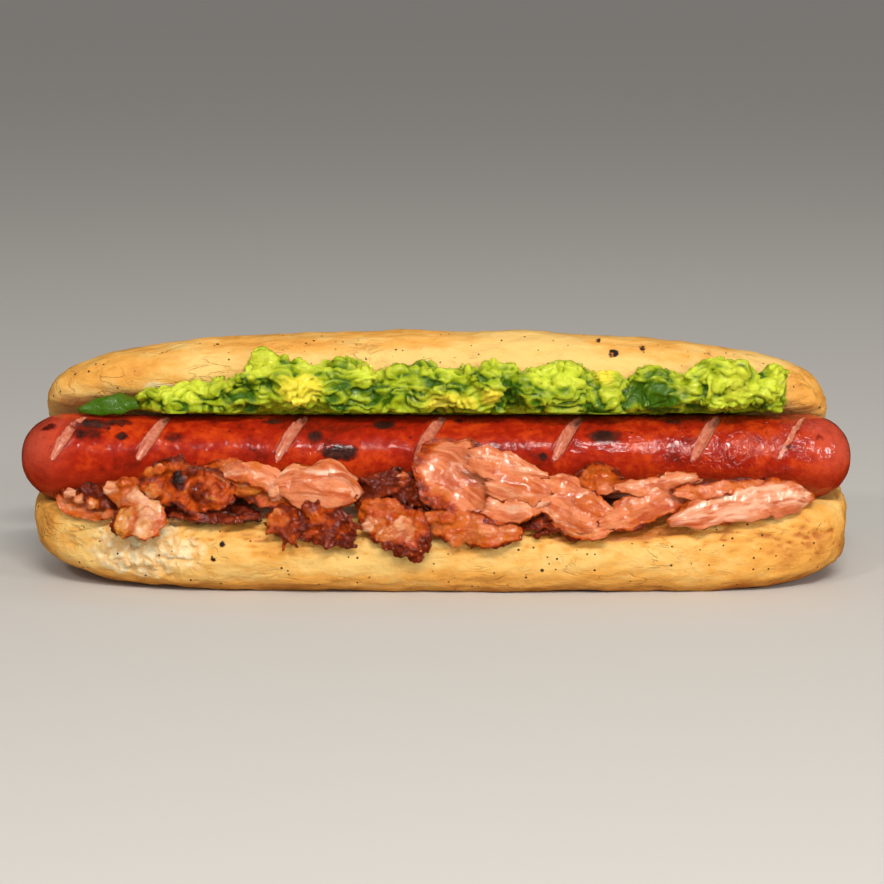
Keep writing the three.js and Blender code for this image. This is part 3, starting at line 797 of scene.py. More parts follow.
# Spoonfuls of mash: where each is centred and how far it reaches along X, Y and Z.
SPOONFULS = [
    (-65, -11, 46.9, 10.4, 5.2, 4), (-53, -12, 47.5, 10.6, 6, 5.4), (-43.2, -13.6, 52.6, 5.4, 5.2, 7.6),
    (-35.5, -15.4, 51.1, 6.8, 5.6, 6.5), (-22.6, -14.2, 50.8, 8.2, 6, 7), (-13, -12.4, 48.2, 11, 6.2, 5.8),
    (-4.5, -14.2, 50.4, 8.6, 6, 6.6), (6, -13.2, 49.3, 11, 6.4, 6.2), (14, -15, 50.6, 5.2, 5.8, 7),
    (29.5, -14.4, 49.9, 12.6, 6.6, 6.8), (42.5, -14.4, 47.7, 6.4, 5.6, 6.4), (57, -13, 49.2, 7.8, 5.8, 6.4),
    (71.5, -16, 51.3, 9.4, 6.4, 6.8), (83.4, -12.6, 48.9, 5, 5.2, 5.6),
]
YELLOW_FLESH = [
    ((-33.5, -20, 51), (8, 9, 7)), ((3.6, -19, 47.5), (9.5, 8, 4)), ((14, -20, 49), (4, 8, 4.6)),
    ((42, -18, 55), (4, 8, 4)), ((-52, -10, 50), (3.4, 6, 3)), ((-8, -10, 53), (5, 8, 3)),
]
PALE_FLESH = [
    ((72, -19, 51.6), (9.5, 9, 8)), ((85, -16, 50.6), (5.6, 8, 6.5)), ((-44, -16, 57), (6, 8, 5)),
    ((-18, -16, 54), (6, 8, 4)), ((30, -18, 54), (10, 8, 4)), ((-62, -15, 50), (9, 7, 3)),
]
# Deep green spots: centre and reach. They add to the deep green of the hollows and make the mash less light.
DEEP_GREEN_SPOTS = [
    ((21, -20, 50), (8, 9, 8)), ((55, -18, 48), (11, 9, 8)), ((-47, -17, 49), (5, 8, 7)), ((-14, -18, 50), (6, 7, 4)),
    ((79, -16, 46.5), (6, 8, 4)), ((40, -16, 46), (6, 8, 4)), ((-24, -17, 47), (5, 8, 4)), ((66, -12, 46), (5, 6, 4)),
]
MASH_VOXEL = 0.42
MASH_BED_MESH = (24, 90)  # sides and rings
MASH_BED_MIDDLE = (7, -8, 46.2)
MASH_BED_REACH = (79, 8.8, 5)
MASH_BED_LEAN = 3  # how much lower its back is than its middle
SMALL_LUMPS = 5  # on each spoonful
MASH_LOWEST = 43.2  # over the sausage's top, where the mash ends in a straight line


def uneven_ball(centre, reach, swell_at):
    """A ball drawn out to its reach, and swollen towards each side by swell_at(way)."""
    bm = bmesh.new()
    bmesh.ops.create_icosphere(bm, subdivisions=4, radius=1)
    for vert in bm.verts:
        way = vert.co.copy()
        swell = swell_at(way)
        vert.co = Vector(c + w * r * swell for c, w, r in zip(centre, way, reach))
    return bm


def lump_of_mash(centre, reach, seed):
    """One uneven lump."""
    return uneven_ball(centre, reach, lambda way: 1 + 0.2 * noise.noise(way * 1.4 + Vector((seed * 3.7, 0, 0))))


def mash_bed():
    """The layer of mash between the top of the sausage and the upper cut face."""
    middle_x, middle_y, middle_z = MASH_BED_MIDDLE
    long, deep, thick = MASH_BED_REACH

    def place(along, turn, at_pole):
        share = math.sin(along * math.pi / 2)
        size = 0 if at_pole else taper(share, 2.6) * (1 + 0.16 * unevenness(share * 9, 2.2, turn * 3))
        y, z = math.cos(turn * math.tau), -math.sin(turn * math.tau)
        tall = thick * size * z - MASH_BED_LEAN * size * y
        return Vector((middle_x + share * long, middle_y + deep * size * y, middle_z + tall))

    return long_body(*MASH_BED_MESH, place)


def mash_heap(seed):
    """All the mash as overlapping lumps, with small ones scattered over the front of the large ones."""
    chance = random.Random(seed)
    bm = mash_bed()
    for n, (x, y, z, rx, ry, rz) in enumerate(SPOONFULS):
        join_into(bm, lump_of_mash((x, y, z), (rx, ry, rz), n))
        for _ in range(SMALL_LUMPS):
            round_way = chance.uniform(0.0, 1.05) * math.pi
            off_x = chance.uniform(-0.85, 0.85)
            ring = math.sqrt(1 - off_x**2) * 0.82
            front, above = ring * math.cos(round_way / 2), ring * math.sin(round_way / 2)
            centre = (x + rx * off_x, y - ry * front, z + rz * above)
            size = chance.uniform(1.5, 3.4)
            reach = (size * chance.uniform(1.0, 1.8), size, size * chance.uniform(0.7, 1.1))
            join_into(bm, lump_of_mash(centre, reach, chance.uniform(0, 50)))
    return bm


def mash_relief(point):
    """The smeared, lumpy relief of the mash, in millimetres."""
    warp = noise.noise_vector(point / 6) * 3.4
    drawn = Vector((point.x * 0.62, point.y, point.z)) + warp
    smear = noise.noise(drawn / 3.6)
    fold = ridges(drawn + Vector((30, 0, 0)), 3.0)
    strokes = ridges(Vector((point.x * 0.3, point.y, point.z)) + warp * 0.5, 1.9)
    lumps = 1 - noise.voronoi(point / 1.6 + warp * 0.2)[0][0]
    crumbs = noise.noise(point / 0.7)
    return 1.3 * smear - 1.1 * fold**3 + 0.8 * (strokes - 0.5) + 0.14 * (lumps - 0.45) + 0.16 * crumbs - 0.1


def clear_of_axis(point, keep):
    """A point, moved straight out where it is nearer than keep to the sausage's axis."""
    y, z = point.y - SAUSAGE_Y, point.z - SAUSAGE_Z
    reach = math.hypot(y, z)
    if 1e-6 < reach < keep:
        return Vector((point.x, SAUSAGE_Y + y / reach * keep, SAUSAGE_Z + z / reach * keep))
    return point


def press_back(point, distance, search, blocker):
    """Moves a point clear of the sausage by a distance, and of the bun where that is within the search."""
    beyond = max(0.0, abs(point.x) - blocker["half_length"] + SAUSAGE_CAP)
    if beyond < SAUSAGE_CAP:
        keep = (blocker["radius"] + distance) * math.sqrt(1 - (beyond / SAUSAGE_CAP) ** 2)
        point = clear_of_axis(point, keep)
    near, normal, _, _ = blocker["bun"].find_nearest(point, search)
    if near is not None:
        inside = (point - near).dot(normal)
        if inside < distance:
            point = near + normal * distance
    return point


def colour_of_mash(point, relief, normal):
    """How yellow, how light and how deep green the mash is at a point: lighter on its crests and where it faces up,
    and deep green in its hollows, which is painted light and shade.
    """
    patchy = 0.5 * noise.noise(point / 3.3)
    yellow, pale, dark = (strongest(point, spots) for spots in (YELLOW_FLESH, PALE_FLESH, DEEP_GREEN_SPOTS))
    # Painted light on crests and upward faces, painted shade in hollows.
    light = clamp(0.3 + 0.4 * relief + patchy + 0.8 * pale - 0.5 * dark + 0.25 * normal.z)
    deep = clamp(0.08 - 0.6 * relief - 0.8 * patchy + 0.6 * dark - 0.6 * pale - 0.6 * yellow)
    return (clamp(1.0 * yellow + 0.25 * relief), light, deep, 1.0)


# Strips


def strip_surface(shape, u, edge):
    """The middle of a strip at a share u of its length and at -1..1 across it, and the way that it faces."""
    path = [Vector(point) for point in shape["path"]]
    centre = curve_point(path, u)
    ahead = (curve_point(path, u + 1e-3) - curve_point(path, u - 1e-3)).normalized()
    upward = Vector(shape["across"]).normalized()
    to_edge = (upward - ahead * upward.dot(ahead)).normalized()
    out = ahead.cross(to_edge)
    length = shape["length"]
    width = shape["width"]
    place = clamp(u) * (len(width) - 1)
    below = min(int(place), len(width) - 2)
    wide = mix(width[below], width[below + 1], smoothstep(place - below, 0, 1))
    seed = shape["seed"]
    ragged = 1 + 0.16 * unevenness(u * length * 0.3, edge * 2, seed + 3.3)
    end_round = 1 - 0.35 * abs(2 * u - 1) ** 6
    reach = edge * wide * ragged * end_round / 2
    wave = math.sin(math.tau * shape["waves"] * u + seed + 1.2 * edge) * (0.35 + 0.65 * abs(edge))
    lift = shape["bow"] * (1 - edge * edge) + shape["ruffle"] * wave
    lift += 0.7 * unevenness(u * length * 0.22, edge, seed)
    return centre + to_edge * reach + out * lift, out, to_edge, ahead


def strip(path, width, across, bow=0.0, ruffle=0.6, waves=2.0, thickness=1.5, seed=0):
    """The sizes of a thin wavy strip, as its solid has them."""
    points = [Vector(point) for point in path]
    samples = [curve_point(points, n / 60) for n in range(61)]
    length = sum((b - a).length for a, b in zip(samples, samples[1:]))
    return dict(
        path=path, width=width, across=across, bow=bow, ruffle=ruffle, waves=waves, thickness=thickness, seed=seed,
        length=length,
    )


AVOCADO_SLIVER = strip(
    [(-90, -10.5, 44.1), (-85, -11, 44.8), (-79.5, -11.5, 45.6), (-74.5, -12, 46.2)],
    [1.6, 4.4, 5.6, 4], (0, 0.5, 1), bow=0.8, ruffle=0.3, waves=1, thickness=1.8, seed=4,
)


def sear(low=0.0, high=0.0, start=0.0, end=0.0):
    """How far, in mm, browning reaches in from the lower and upper edges and from the two ends of a strip."""
    return (low, high, start, end)


def looks(crisp=0.2, fat=(), seared=sear(), charred=sear(), crumple=0.5, ragged=0.4):
    """How a strip is cooked and torn. A band of fat is a place across, a half width in mm and perhaps a strength."""
    return dict(crisp=crisp, fat=fat, seared=seared, charred=charred, crumple=crumple, ragged=ragged)


# Torn bacon. Each piece has strips, the first as its solid has it, each with its looks, and globs of fat or meat: a
# centre, a reach, and how crisp, fat and charred it is.
BACON = {
    "bacon_big_slice": ([
        (strip([(-4.5, -23.6, 35.8), (3.5, -25.6, 31.6), (11.5, -27.4, 26.6), (19, -28.6, 22)],
               [12, 19, 19.5, 10], (0.6, 0.3, 0.8), bow=-1.4, ruffle=0.5, waves=1.5, thickness=1.8, seed=1),
         looks(0.0, [(0.45, 6, 0.34)], sear(6.6, 1.6, 4, 0.5), sear(1.8, 0.4, 0.8), 0.4, 0.5)),
        (strip([(8, -26.6, 35.4), (15.5, -27.4, 33.8), (22, -27.4, 32), (27.6, -26.4, 30.6)],
               [7, 8, 5.4, 1.8], (0, 0.3, 1), bow=0.7, ruffle=0.5, thickness=1.2, seed=31),
         looks(0.02, [(0.2, 1.0)], sear(0, 0.6, 0, 0.6), ragged=0.9)),
        (strip([(12.5, -28, 29.6), (19, -28.6, 28.6), (24.4, -28.4, 27.4), (28.4, -27.4, 26.2)],
               [7, 9, 7, 2.6], (0, 0.2, 1), bow=0.8, thickness=1.2, seed=32),
         looks(0.04, [(-0.3, 1.3)], sear(0.5, 0, 0, 0.8), crumple=0.6, ragged=0.9)),
        (strip([(12, -28.6, 23.6), (18, -29.4, 22.8), (23.6, -29, 23.6), (28, -28, 24.6)],
               [6, 6.4, 5.4, 2.4], (0, 0.2, 1), bow=0.9, ruffle=0.5, thickness=1.3, seed=33),
         looks(0.06, [(0.1, 1.8)], sear(0.8), ragged=0.7)),
    ], []),
    "bacon_right_slice": ([
        (strip([(57, -28.4, 19), (67, -27.2, 22.2), (78, -25.4, 24.2), (87, -22.6, 24.6), (94, -19, 23.4)],
               [3.5, 9.5, 11, 9.5, 4], (0, 0.45, 1), bow=1.6, ruffle=0.4, thickness=1.8, seed=2),
         looks(0.0, [(-0.2, 5, 0.55), (0.35, 1.5, 0.6)], sear(0.3, 2.6, 1.2, 3), sear(0, 0.5, 0, 0.5), 0.3, 0.3)),
        (strip([(58, -27.2, 26.6), (66, -26.6, 27.2), (74, -25.6, 27.8), (81, -23.6, 28.2)],
               [3, 5, 4.4, 2], (0, 0.4, 1), bow=0.8, ruffle=0.4, thickness=1.2, seed=34),
         looks(0.3, [], sear(0.4, 1.6, 1), sear(0, 0.4), 0.4, 0.5)),
    ], []),
    "bacon_cup": ([
        (strip([(34.5, -23.6, 28), (40, -24.6, 29.6), (46.5, -23.8, 27.8)],
               [5, 8.5, 5], (0, 0.35, 1), bow=-1.6, ruffle=0.3, waves=1, seed=3),
         looks(0.42, [], sear(0.4, 1.8, 1.2, 0.8), sear(0, 0.7, 0.3), 0.3, 0.4)),
    ], []),
    "bacon_fat_piece": ([
        (strip([(-19, -25.8, 22.4), (-12.5, -28.4, 20), (-6.5, -30.2, 17), (-1.5, -31, 15)],
               [7, 11, 12, 8], (0.25, 0.2, 1), bow=0.8, ruffle=0.7, thickness=2, seed=5),
         looks(0.55, [(0.5, 1.4)], sear(3, 1, 0, 4), sear(0.6, 0.3, 0, 0.8), 0.9, 0.8)),
    ], [
        ((-15.6, -28.6, 18.9), (3.6, 1.7, 2.2), (0, 1, 0)), ((-11.6, -29.8, 16.6), (3.2, 1.7, 2.3), (0, 1, 0)),
        ((-8.2, -30, 19.6), (2.3, 1.4, 2), (0.1, 0.9, 0)), ((-6.2, -30.8, 17), (1.7, 1.2, 1.8), (0.2, 0.8, 0)),
        ((-8.4, -31.2, 12.6), (2.4, 1.3, 2), (0.85, 0, 0.1)), ((-5, -31.4, 11.6), (2.2, 1.2, 1.6), (0.9, 0, 0.25)),
        ((-2.2, -31.2, 14.6), (1.8, 1.3, 2.4), (0.8, 0.1, 0.1)),
    ]),
    "bacon_pink_curl": ([
        (strip([(-41, -24.6, 27.8), (-34, -26, 28.4), (-27, -27.2, 28.2), (-19.5, -26.4, 27)],
               [6, 10.5, 12.5, 9], (0, 0.35, 1), bow=1.6, ruffle=0.5, waves=1.5, thickness=1.7, seed=6),
         looks(0.03, [(0, 6, 0.34), (0.6, 1.2, 0.6)], sear(1.6, 0.5, 2.2, 0.3), sear(0.5, 0.3, 0.3), 0.32, 0.35)),
        (strip([(-26.6, -28.2, 31.4), (-22.2, -28.4, 30), (-19.8, -27.8, 27), (-21.4, -27.2, 23.8)],
               [2.2, 3.4, 3.6, 2], (0.9, 0.1, 0.5), bow=0.5, ruffle=0.3, waves=1, thickness=1.1, seed=35),
         looks(0.0, [(0, 2)], crumple=0.2, ragged=0.3)),
    ], []),
    "bacon_hanging_fat": ([
        (strip([(-69.5, -25, 24.2), (-71.5, -27.6, 21), (-73, -29.4, 18), (-73.8, -29.8, 15.8)],
               [8, 10, 9.5, 5], (1, 0, 0.15), bow=0.8, ruffle=0.4, waves=1, seed=7),
         looks(0.3, [(0, 5, 0.85)], sear(0.8, 0.2, 0, 0.8), sear(0.3), 0.5, 0.6)),
        (strip([(-76, -27, 22.6), (-77.2, -29, 19.2), (-77.6, -29.6, 15.8)],
               [6, 6.4, 4], (1, 0, 0.1), bow=0.6, ruffle=0.3, waves=1, thickness=1.2, seed=36),
         looks(0.5, [(0, 3, 0.8)], sear(1.0, 0, 0, 1.2), sear(0.3, 0, 0, 0.4), 0.6, 0.6)),
    ], [
        ((-71.4, -28.6, 21.6), (2, 1.1, 2.2), (0.15, 0.9, 0)), ((-69.4, -29.2, 17.2), (1.4, 1, 2), (0.5, 0.9, 0)),
    ]),
    "bacon_left_curl": ([
        (strip([(-95, -17, 25.4), (-90.5, -19.4, 23.2), (-85, -21.6, 22), (-79.5, -23, 21.2)],
               [5, 9, 9, 4.5], (0.1, 0.5, 1), bow=-1.6, ruffle=0.4, waves=1.5, seed=8),
         looks(0.3, [(-0.5, 1.2)], sear(0.5, 2, 2, 0.6), sear(0, 0.8, 0.4, 0.5), 0.6, 0.6)),
        (strip([(-88.4, -20, 26), (-84, -21.4, 24.2), (-79.6, -22.6, 21.6)],
               [4, 6, 4], (0.1, 0.4, 1), bow=0.6, ruffle=0.9, thickness=1.2, seed=37),
         looks(0.95, [], sear(1, 1), sear(1.4, 1.6, 0.6, 0.6), 1.0, 0.9)),
    ], [
        ((-91.6, -20.4, 25), (1.9, 1.2, 1.5), (0.05, 1, 0)), ((-88.6, -21.2, 23.6), (2.2, 1.2, 1.5), (0.25, 0.9, 0)),
        ((-85.4, -22.4, 22.8), (1.7, 1.1, 1.4), (0.3, 0.9, 0)), ((-81.6, -23.6, 20.4), (2, 1.2, 1.1), (0, 0.3, 0)),
    ]),
    "bacon_left_crest": ([
        (strip([(-73, -24.2, 28), (-64.5, -25.6, 28.6), (-57, -26, 27), (-50, -25.6, 25)],
               [7, 12.5, 12, 7], (0, 0.4, 1), bow=1, ruffle=0.9, waves=2.5, thickness=1.7, seed=9),
         looks(0.66, [(0.75, 1.0), (-0.35, 0.8)], sear(1, 1.6, 1, 1), sear(0.3, 0.5), 1.1, 0.9)),
    ], [
        ((-71, -25.6, 31.4), (1.8, 1.2, 1.6), (0.45, 0.8, 0)), ((-68.2, -26.2, 32.6), (1.6, 1.1, 1.4), (0.4, 0.8, 0)),
        ((-64.6, -26.8, 33.2), (1.9, 1.2, 1.4), (0.55, 0.6, 0)), ((-60.8, -26.8, 32), (1.8, 1.1, 1.5), (0.8, 0.1, 0)),
        ((-70, -27, 27), (2.2, 1.3, 1.9), (0.3, 0.8, 0)), ((-66.6, -27.6, 25), (1.8, 1.2, 1.6), (0.55, 0.5, 0)),
        ((-63.6, -27.4, 29.6), (1.2, 0.9, 2.8), (1, 0, 0.9)), ((-58.4, -27.6, 27), (2.4, 1.2, 2), (0.85, 0, 0.1)),
    ]),
    "bacon_left_knob": ([
        (strip([(-82, -22.4, 26.6), (-77.5, -23.6, 26.2), (-74.5, -23.8, 25), (-70, -22.8, 23.4)],
               [4.5, 8, 8, 5], (0, 0.5, 1), bow=1.4, ruffle=0.5, waves=1, seed=10),
         looks(0.42, [(0.5, 1.2)], sear(0.6, 1.2, 0.3), sear(0.5, 0), 0.7, 0.6)),
    ], [
        ((-80.8, -24.4, 27.2), (2.3, 1.4, 1.9), (0.1, 0.9, 0)), ((-77, -25, 28.4), (2.2, 1.4, 1.4), (0.5, 0.6, 0)),
        ((-74.4, -26.2, 25.4), (2.3, 1.4, 1.9), (0.05, 1, 0)), ((-71.8, -26.4, 24), (1.8, 1.3, 1.7), (0.05, 1, 0)),
        ((-76.4, -25, 22), (1.8, 1.1, 1.5), (0.2, 0.3, 0)),
    ]),
    "bacon_lower_crisp": ([
        (strip([(-42, -26.6, 19.2), (-35, -28, 19.8), (-27, -29, 18.6), (-19.5, -29.4, 16)],
               [6, 11, 11, 6], (0, 0.3, 1), bow=0.8, ruffle=0.9, waves=2.5, seed=11),
         looks(0.82, [(0.4, 0.8)], sear(2, 1, 0.6, 2), sear(0.9, 0.4, 0.2, 1.1), 1.1, 1.1)),
        (strip([(-42, -29.6, 16.8), (-39.2, -30.4, 18), (-36.8, -30.8, 16.2), (-37.8, -30.8, 12.8)],
               [1.6, 2.2, 2, 0.9], (0, 0.4, 1), ruffle=0.2, waves=1, thickness=1.1, seed=38),
         looks(0.75, [], sear(0.4, 0.4), crumple=0.3, ragged=0.3)),
        (strip([(-34.8, -30.2, 18), (-35.4, -31, 15.4), (-34, -31, 13.6)],
               [2, 1.8, 0.8], (1, 0, 0.2), ruffle=0.2, waves=1, thickness=1, seed=39),
         looks(0.8, [], crumple=0.3, ragged=0.3)),
    ], [
        ((-39.4, -28.6, 20.4), (2.4, 1.4, 2.8), (0.3, 0.8, 0)), ((-34.6, -29.8, 18.6), (2.6, 1.3, 1.8), (0.7, 0.3, 0)),
        ((-29.6, -30, 21), (2, 1.2, 1.4), (0.45, 0.5, 0)), ((-22, -30.4, 14.2), (2.4, 1.2, 1.4), (0.95, 0, 0.5)),
    ]),
    "bacon_lower_pink": ([
        (strip([(-3.5, -27, 20), (5, -28.6, 18.6), (13, -29.4, 17), (21.5, -29.4, 17)],
               [6, 9, 9, 4.5], (0, 0.3, 1), bow=0.9, ruffle=0.5, seed=12),
         looks(0.34, [(0.1, 0.7), (-0.5, 1.2)], sear(1.6, 0.5, 1, 1.6), sear(0.8, 0, 0.2, 0.8), 0.7, 0.6)),
    ], [
        ((-1.6, -28.8, 20.4), (2.8, 1.4, 2.2), (0.35, 0.5, 0)), ((2.6, -29.6, 21), (2.2, 1.2, 1.5), (0.5, 0.2, 0.1)),
        ((5, -30.4, 14.6), (2, 1.2, 1.5), (0.2, 0.3, 0)), ((9.6, -30.4, 16.4), (2.6, 1.1, 1.2), (0.15, 0.5, 0)),
    ]),
    "bacon_right_fold": ([
        (strip([(25, -25.4, 27.8), (31, -27, 25), (37.5, -28.2, 21.8), (44.5, -28, 20.2)],
               [8, 12.5, 11.5, 6], (0.35, 0.3, 1), bow=1, ruffle=0.7, seed=13),
         looks(0.16, [(-0.75, 1.2)], sear(0.8, 1, 0.8, 1), sear(0.3, 0, 0, 0.4), 0.6, 0.6)),
        (strip([(29, -27.4, 20.6), (33.6, -29.6, 17.8), (39, -30, 17), (44, -29.2, 18.2)],
               [3.4, 4.6, 4, 2], (0.2, 0.2, 1), bow=0.6, ruffle=0.4, waves=1.5, thickness=1.4, seed=40),
         looks(0.3, [(0, 1.1)], sear(1.1, 0.2), sear(0.2), 0.4, 0.5)),
    ], []),
    "bacon_right_twist": ([
        (strip([(40, -29, 18.8), (48, -27.4, 21.4), (57, -25.6, 25), (66.5, -22.8, 27.8)],
               [4.5, 8.5, 8.5, 5], (-0.25, 0.35, 1), bow=1, seed=14),
         looks(0.12, [(0.7, 0.8)], sear(1.4, 0.7, 0.6, 1), sear(0.5, 0.2), 0.5, 0.5)),
        (strip([(44, -25.6, 27.6), (51, -25.6, 27.6), (58, -25, 28.8), (65, -23, 29.6)],
               [3, 4.6, 5, 3], (0, 0.4, 1), bow=0.8, ruffle=0.5, thickness=1.2, seed=41),
         looks(0.05, [(0.1, 1.1)], sear(0.3, 0.9), ragged=0.5)),
    ], []),
    "bacon_back_band": ([
        (strip([(-60, -22, 30.4), (-50.5, -23, 29.8), (-43.5, -23.6, 27), (-37, -23.8, 23.2)],
               [5, 8.5, 9, 6], (0.1, 0.4, 1), bow=0.8, seed=15),
         looks(0.45, [(0.1, 1.2)], sear(1.8, 1, 0.5, 1), sear(0.6, 0.2), 0.7, 0.6)),
        (strip([(-52, -24, 30.8), (-46.6, -24.8, 31), (-41, -25.2, 29.4), (-37.2, -25.2, 25.6)],
               [4, 6, 7, 5], (0.3, 0.4, 1), bow=0.8, ruffle=0.4, waves=1.5, thickness=1.3, seed=42),
         looks(0.12, [(0, 2)], sear(1.2, 0.6), sear(0.4), 0.5, 0.5)),
    ], [
        ((-46.4, -26.2, 27.4), (4.2, 1.0, 1.9), (0.7, 1, 0)), ((-39.4, -26.6, 26.6), (2.2, 1.1, 2.6), (0.05, 0.9, 0)),
    ]),
    "bacon_dark_crisp": ([
        (strip([(-20.5, -22.2, 23.8), (-13.5, -23, 26.8), (-7, -22.8, 25.6), (0, -22.2, 23.2)],
               [6, 10, 10.5, 6.5], (0, 0.4, 1), bow=0.8, ruffle=1, waves=3, seed=16),
         looks(0.98, [], sear(1, 1), sear(1.2, 0.9, 0.6, 0.6), 1.2, 1.0)),
        (strip([(-20, -24.4, 22.2), (-15.5, -25.4, 25), (-9.8, -25.4, 28.2), (-6, -24.4, 29.2)],
               [2.4, 3.4, 4, 2], (-0.4, 0.3, 1), bow=0.5, ruffle=0.4, thickness=1.1, seed=43),
         looks(0.9, [], sear(1, 1), sear(0.3, 0.5), 0.6, 0.5)),
        (strip([(-9.4, -24.2, 27), (-4.6, -25, 26), (-1, -25, 22.4)],
               [5, 7, 5], (0.3, 0.3, 1), bow=0.6, ruffle=0.8, waves=2.5, thickness=1.2, seed=44),
         looks(0.95, [], sear(1, 1), sear(0.7, 0.9), 1.1, 0.8)),
    ], [
        ((-8.4, -24.4, 30), (1.8, 1.1, 1.2), (0.1, 0.7, 0)), ((-1.6, -24, 28.2), (1.3, 1, 1.9), (0, 1, 0)),
        ((1.4, -24.8, 24.6), (1.9, 1.1, 2), (0.55, 0.1, 0)),
    ]),
    "bacon_small_pink": ([
        (strip([(17.5, -23.6, 25.8), (24, -24, 24.8), (30.5, -24, 23)],
               [5, 8, 5], (0, 0.4, 1), bow=1, ruffle=0.3, waves=1, seed=17),
         looks(0.14, [(0.2, 1.4)], sear(0.6, 0.4), ragged=0.5)),
    ], []),
    "bacon_thin_strand": ([
        (strip([(21, -27.4, 17.6), (28, -27.8, 19.2), (35, -28, 18), (42.5, -28.4, 18.8)],
               [2.4, 4, 3.6, 2.4], (0, 0.5, 1), bow=0.3, ruffle=0.5, thickness=1.2, seed=19),
         looks(0.9, [], sear(1, 1), sear(0.5, 0.3, 1.5), 0.6, 0.5)),
        (strip([(24, -28.6, 15.4), (29, -28.8, 17.8), (35, -29, 16.6), (41, -29, 16.8)],
               [1.2, 1.8, 1.8, 1.2], (0, 0.3, 1), ruffle=0.3, thickness=1, seed=45),
         looks(0.85, [], sear(0.6, 0.6), sear(0, 0, 2), 0.4, 0.4)),
    ], []),
    "bacon_rim_strip": ([
        (strip([(-69, -21.6, 20.4), (-60, -22.8, 20.4), (-50.5, -23.6, 20.2), (-43.5, -24, 20.2)],
               [4, 6, 6, 4], (0, 0.85, 0.5), bow=0.3, ruffle=0.5, waves=3, thickness=1.3, seed=18),
         looks(0.95, [], sear(1, 1), sear(0.8, 0.5), 0.6, 0.6)),
        (strip([(-66, -26, 20.8), (-58, -27.2, 20.4), (-50, -27.6, 20.2), (-44, -27.2, 20.6)],
               [1.8, 2.6, 2.6, 1.6], (0, 0.3, 1), ruffle=0.5, waves=3, thickness=1.1, seed=46),
         looks(0.88, [], sear(0.8, 0.8), sear(0.3, 0.3), 0.5, 0.5)),
    ], []),
}
MEAT_VOXEL = 0.3
SHEET_STEP = 0.36
SAMPLES_TAKEN = 12  # from which the marks of a fused point are mixed


def cooked(shape, look, u, edge, point, relief):
    """How crisp, fat and charred a strip is at a place on it; the char is also raised in the hollows of the crumpled
    strip, which is painted shade.
    """
    half = max(shape["width"]) / 2
    lengths = (half * (1 + edge), half * (1 - edge), u * shape["length"], (1 - u) * shape["length"])
    drift = 1.3 * noise.noise(point / 3.2 + Vector((shape["seed"], 0, 0))) + 0.2

    def reached(reaches, full):
        return max([0.0] + [1 - smoothstep(d + drift, full * r, r) for d, r in zip(lengths, reaches) if r])

    seared = reached(look["seared"], 0.25)
    charred = reached(look["charred"], 0.2)
    fat = 0.0
    for middle, reach, *strength in look["fat"]:
        off = abs(edge - middle - 0.12 * math.sin(u * 9 + shape["seed"])) * half
        fat = max(fat, (*strength, 0.5)[0] * (1 - smoothstep(off + drift, 0.3 * reach, reach + 0.9)))
    crisp = clamp(look["crisp"] + (0.76 + 0.14 * look["crisp"]) * seared + 0.1 * relief)
    # Painted shade: the char rises where the relief is low, in the strip's hollows.
    return crisp, fat * (1 - 0.5 * seared), clamp((0.15 + 0.6 * look["crisp"]) * charred - 0.15 * relief)


def thicken(bm, thickness):
    """Makes an open sheet a closed one that thins towards its rim."""
    way = bm.verts.layers.float_vector.new("way")
    rim = bm.verts.layers.float["rim"]
    for vert in bm.verts:
        vert[way] = vert.normal * thickness * (1 - 0.7 * vert[rim])
        vert.co -= vert[way] / 2
    made = bmesh.ops.extrude_face_region(bm, geom=bm.faces[:], use_keep_orig=True)["geom"]
    for vert in made:
        if isinstance(vert, bmesh.types.BMVert):
            vert.co += vert[way]
    bmesh.ops.recalc_face_normals(bm, faces=bm.faces)


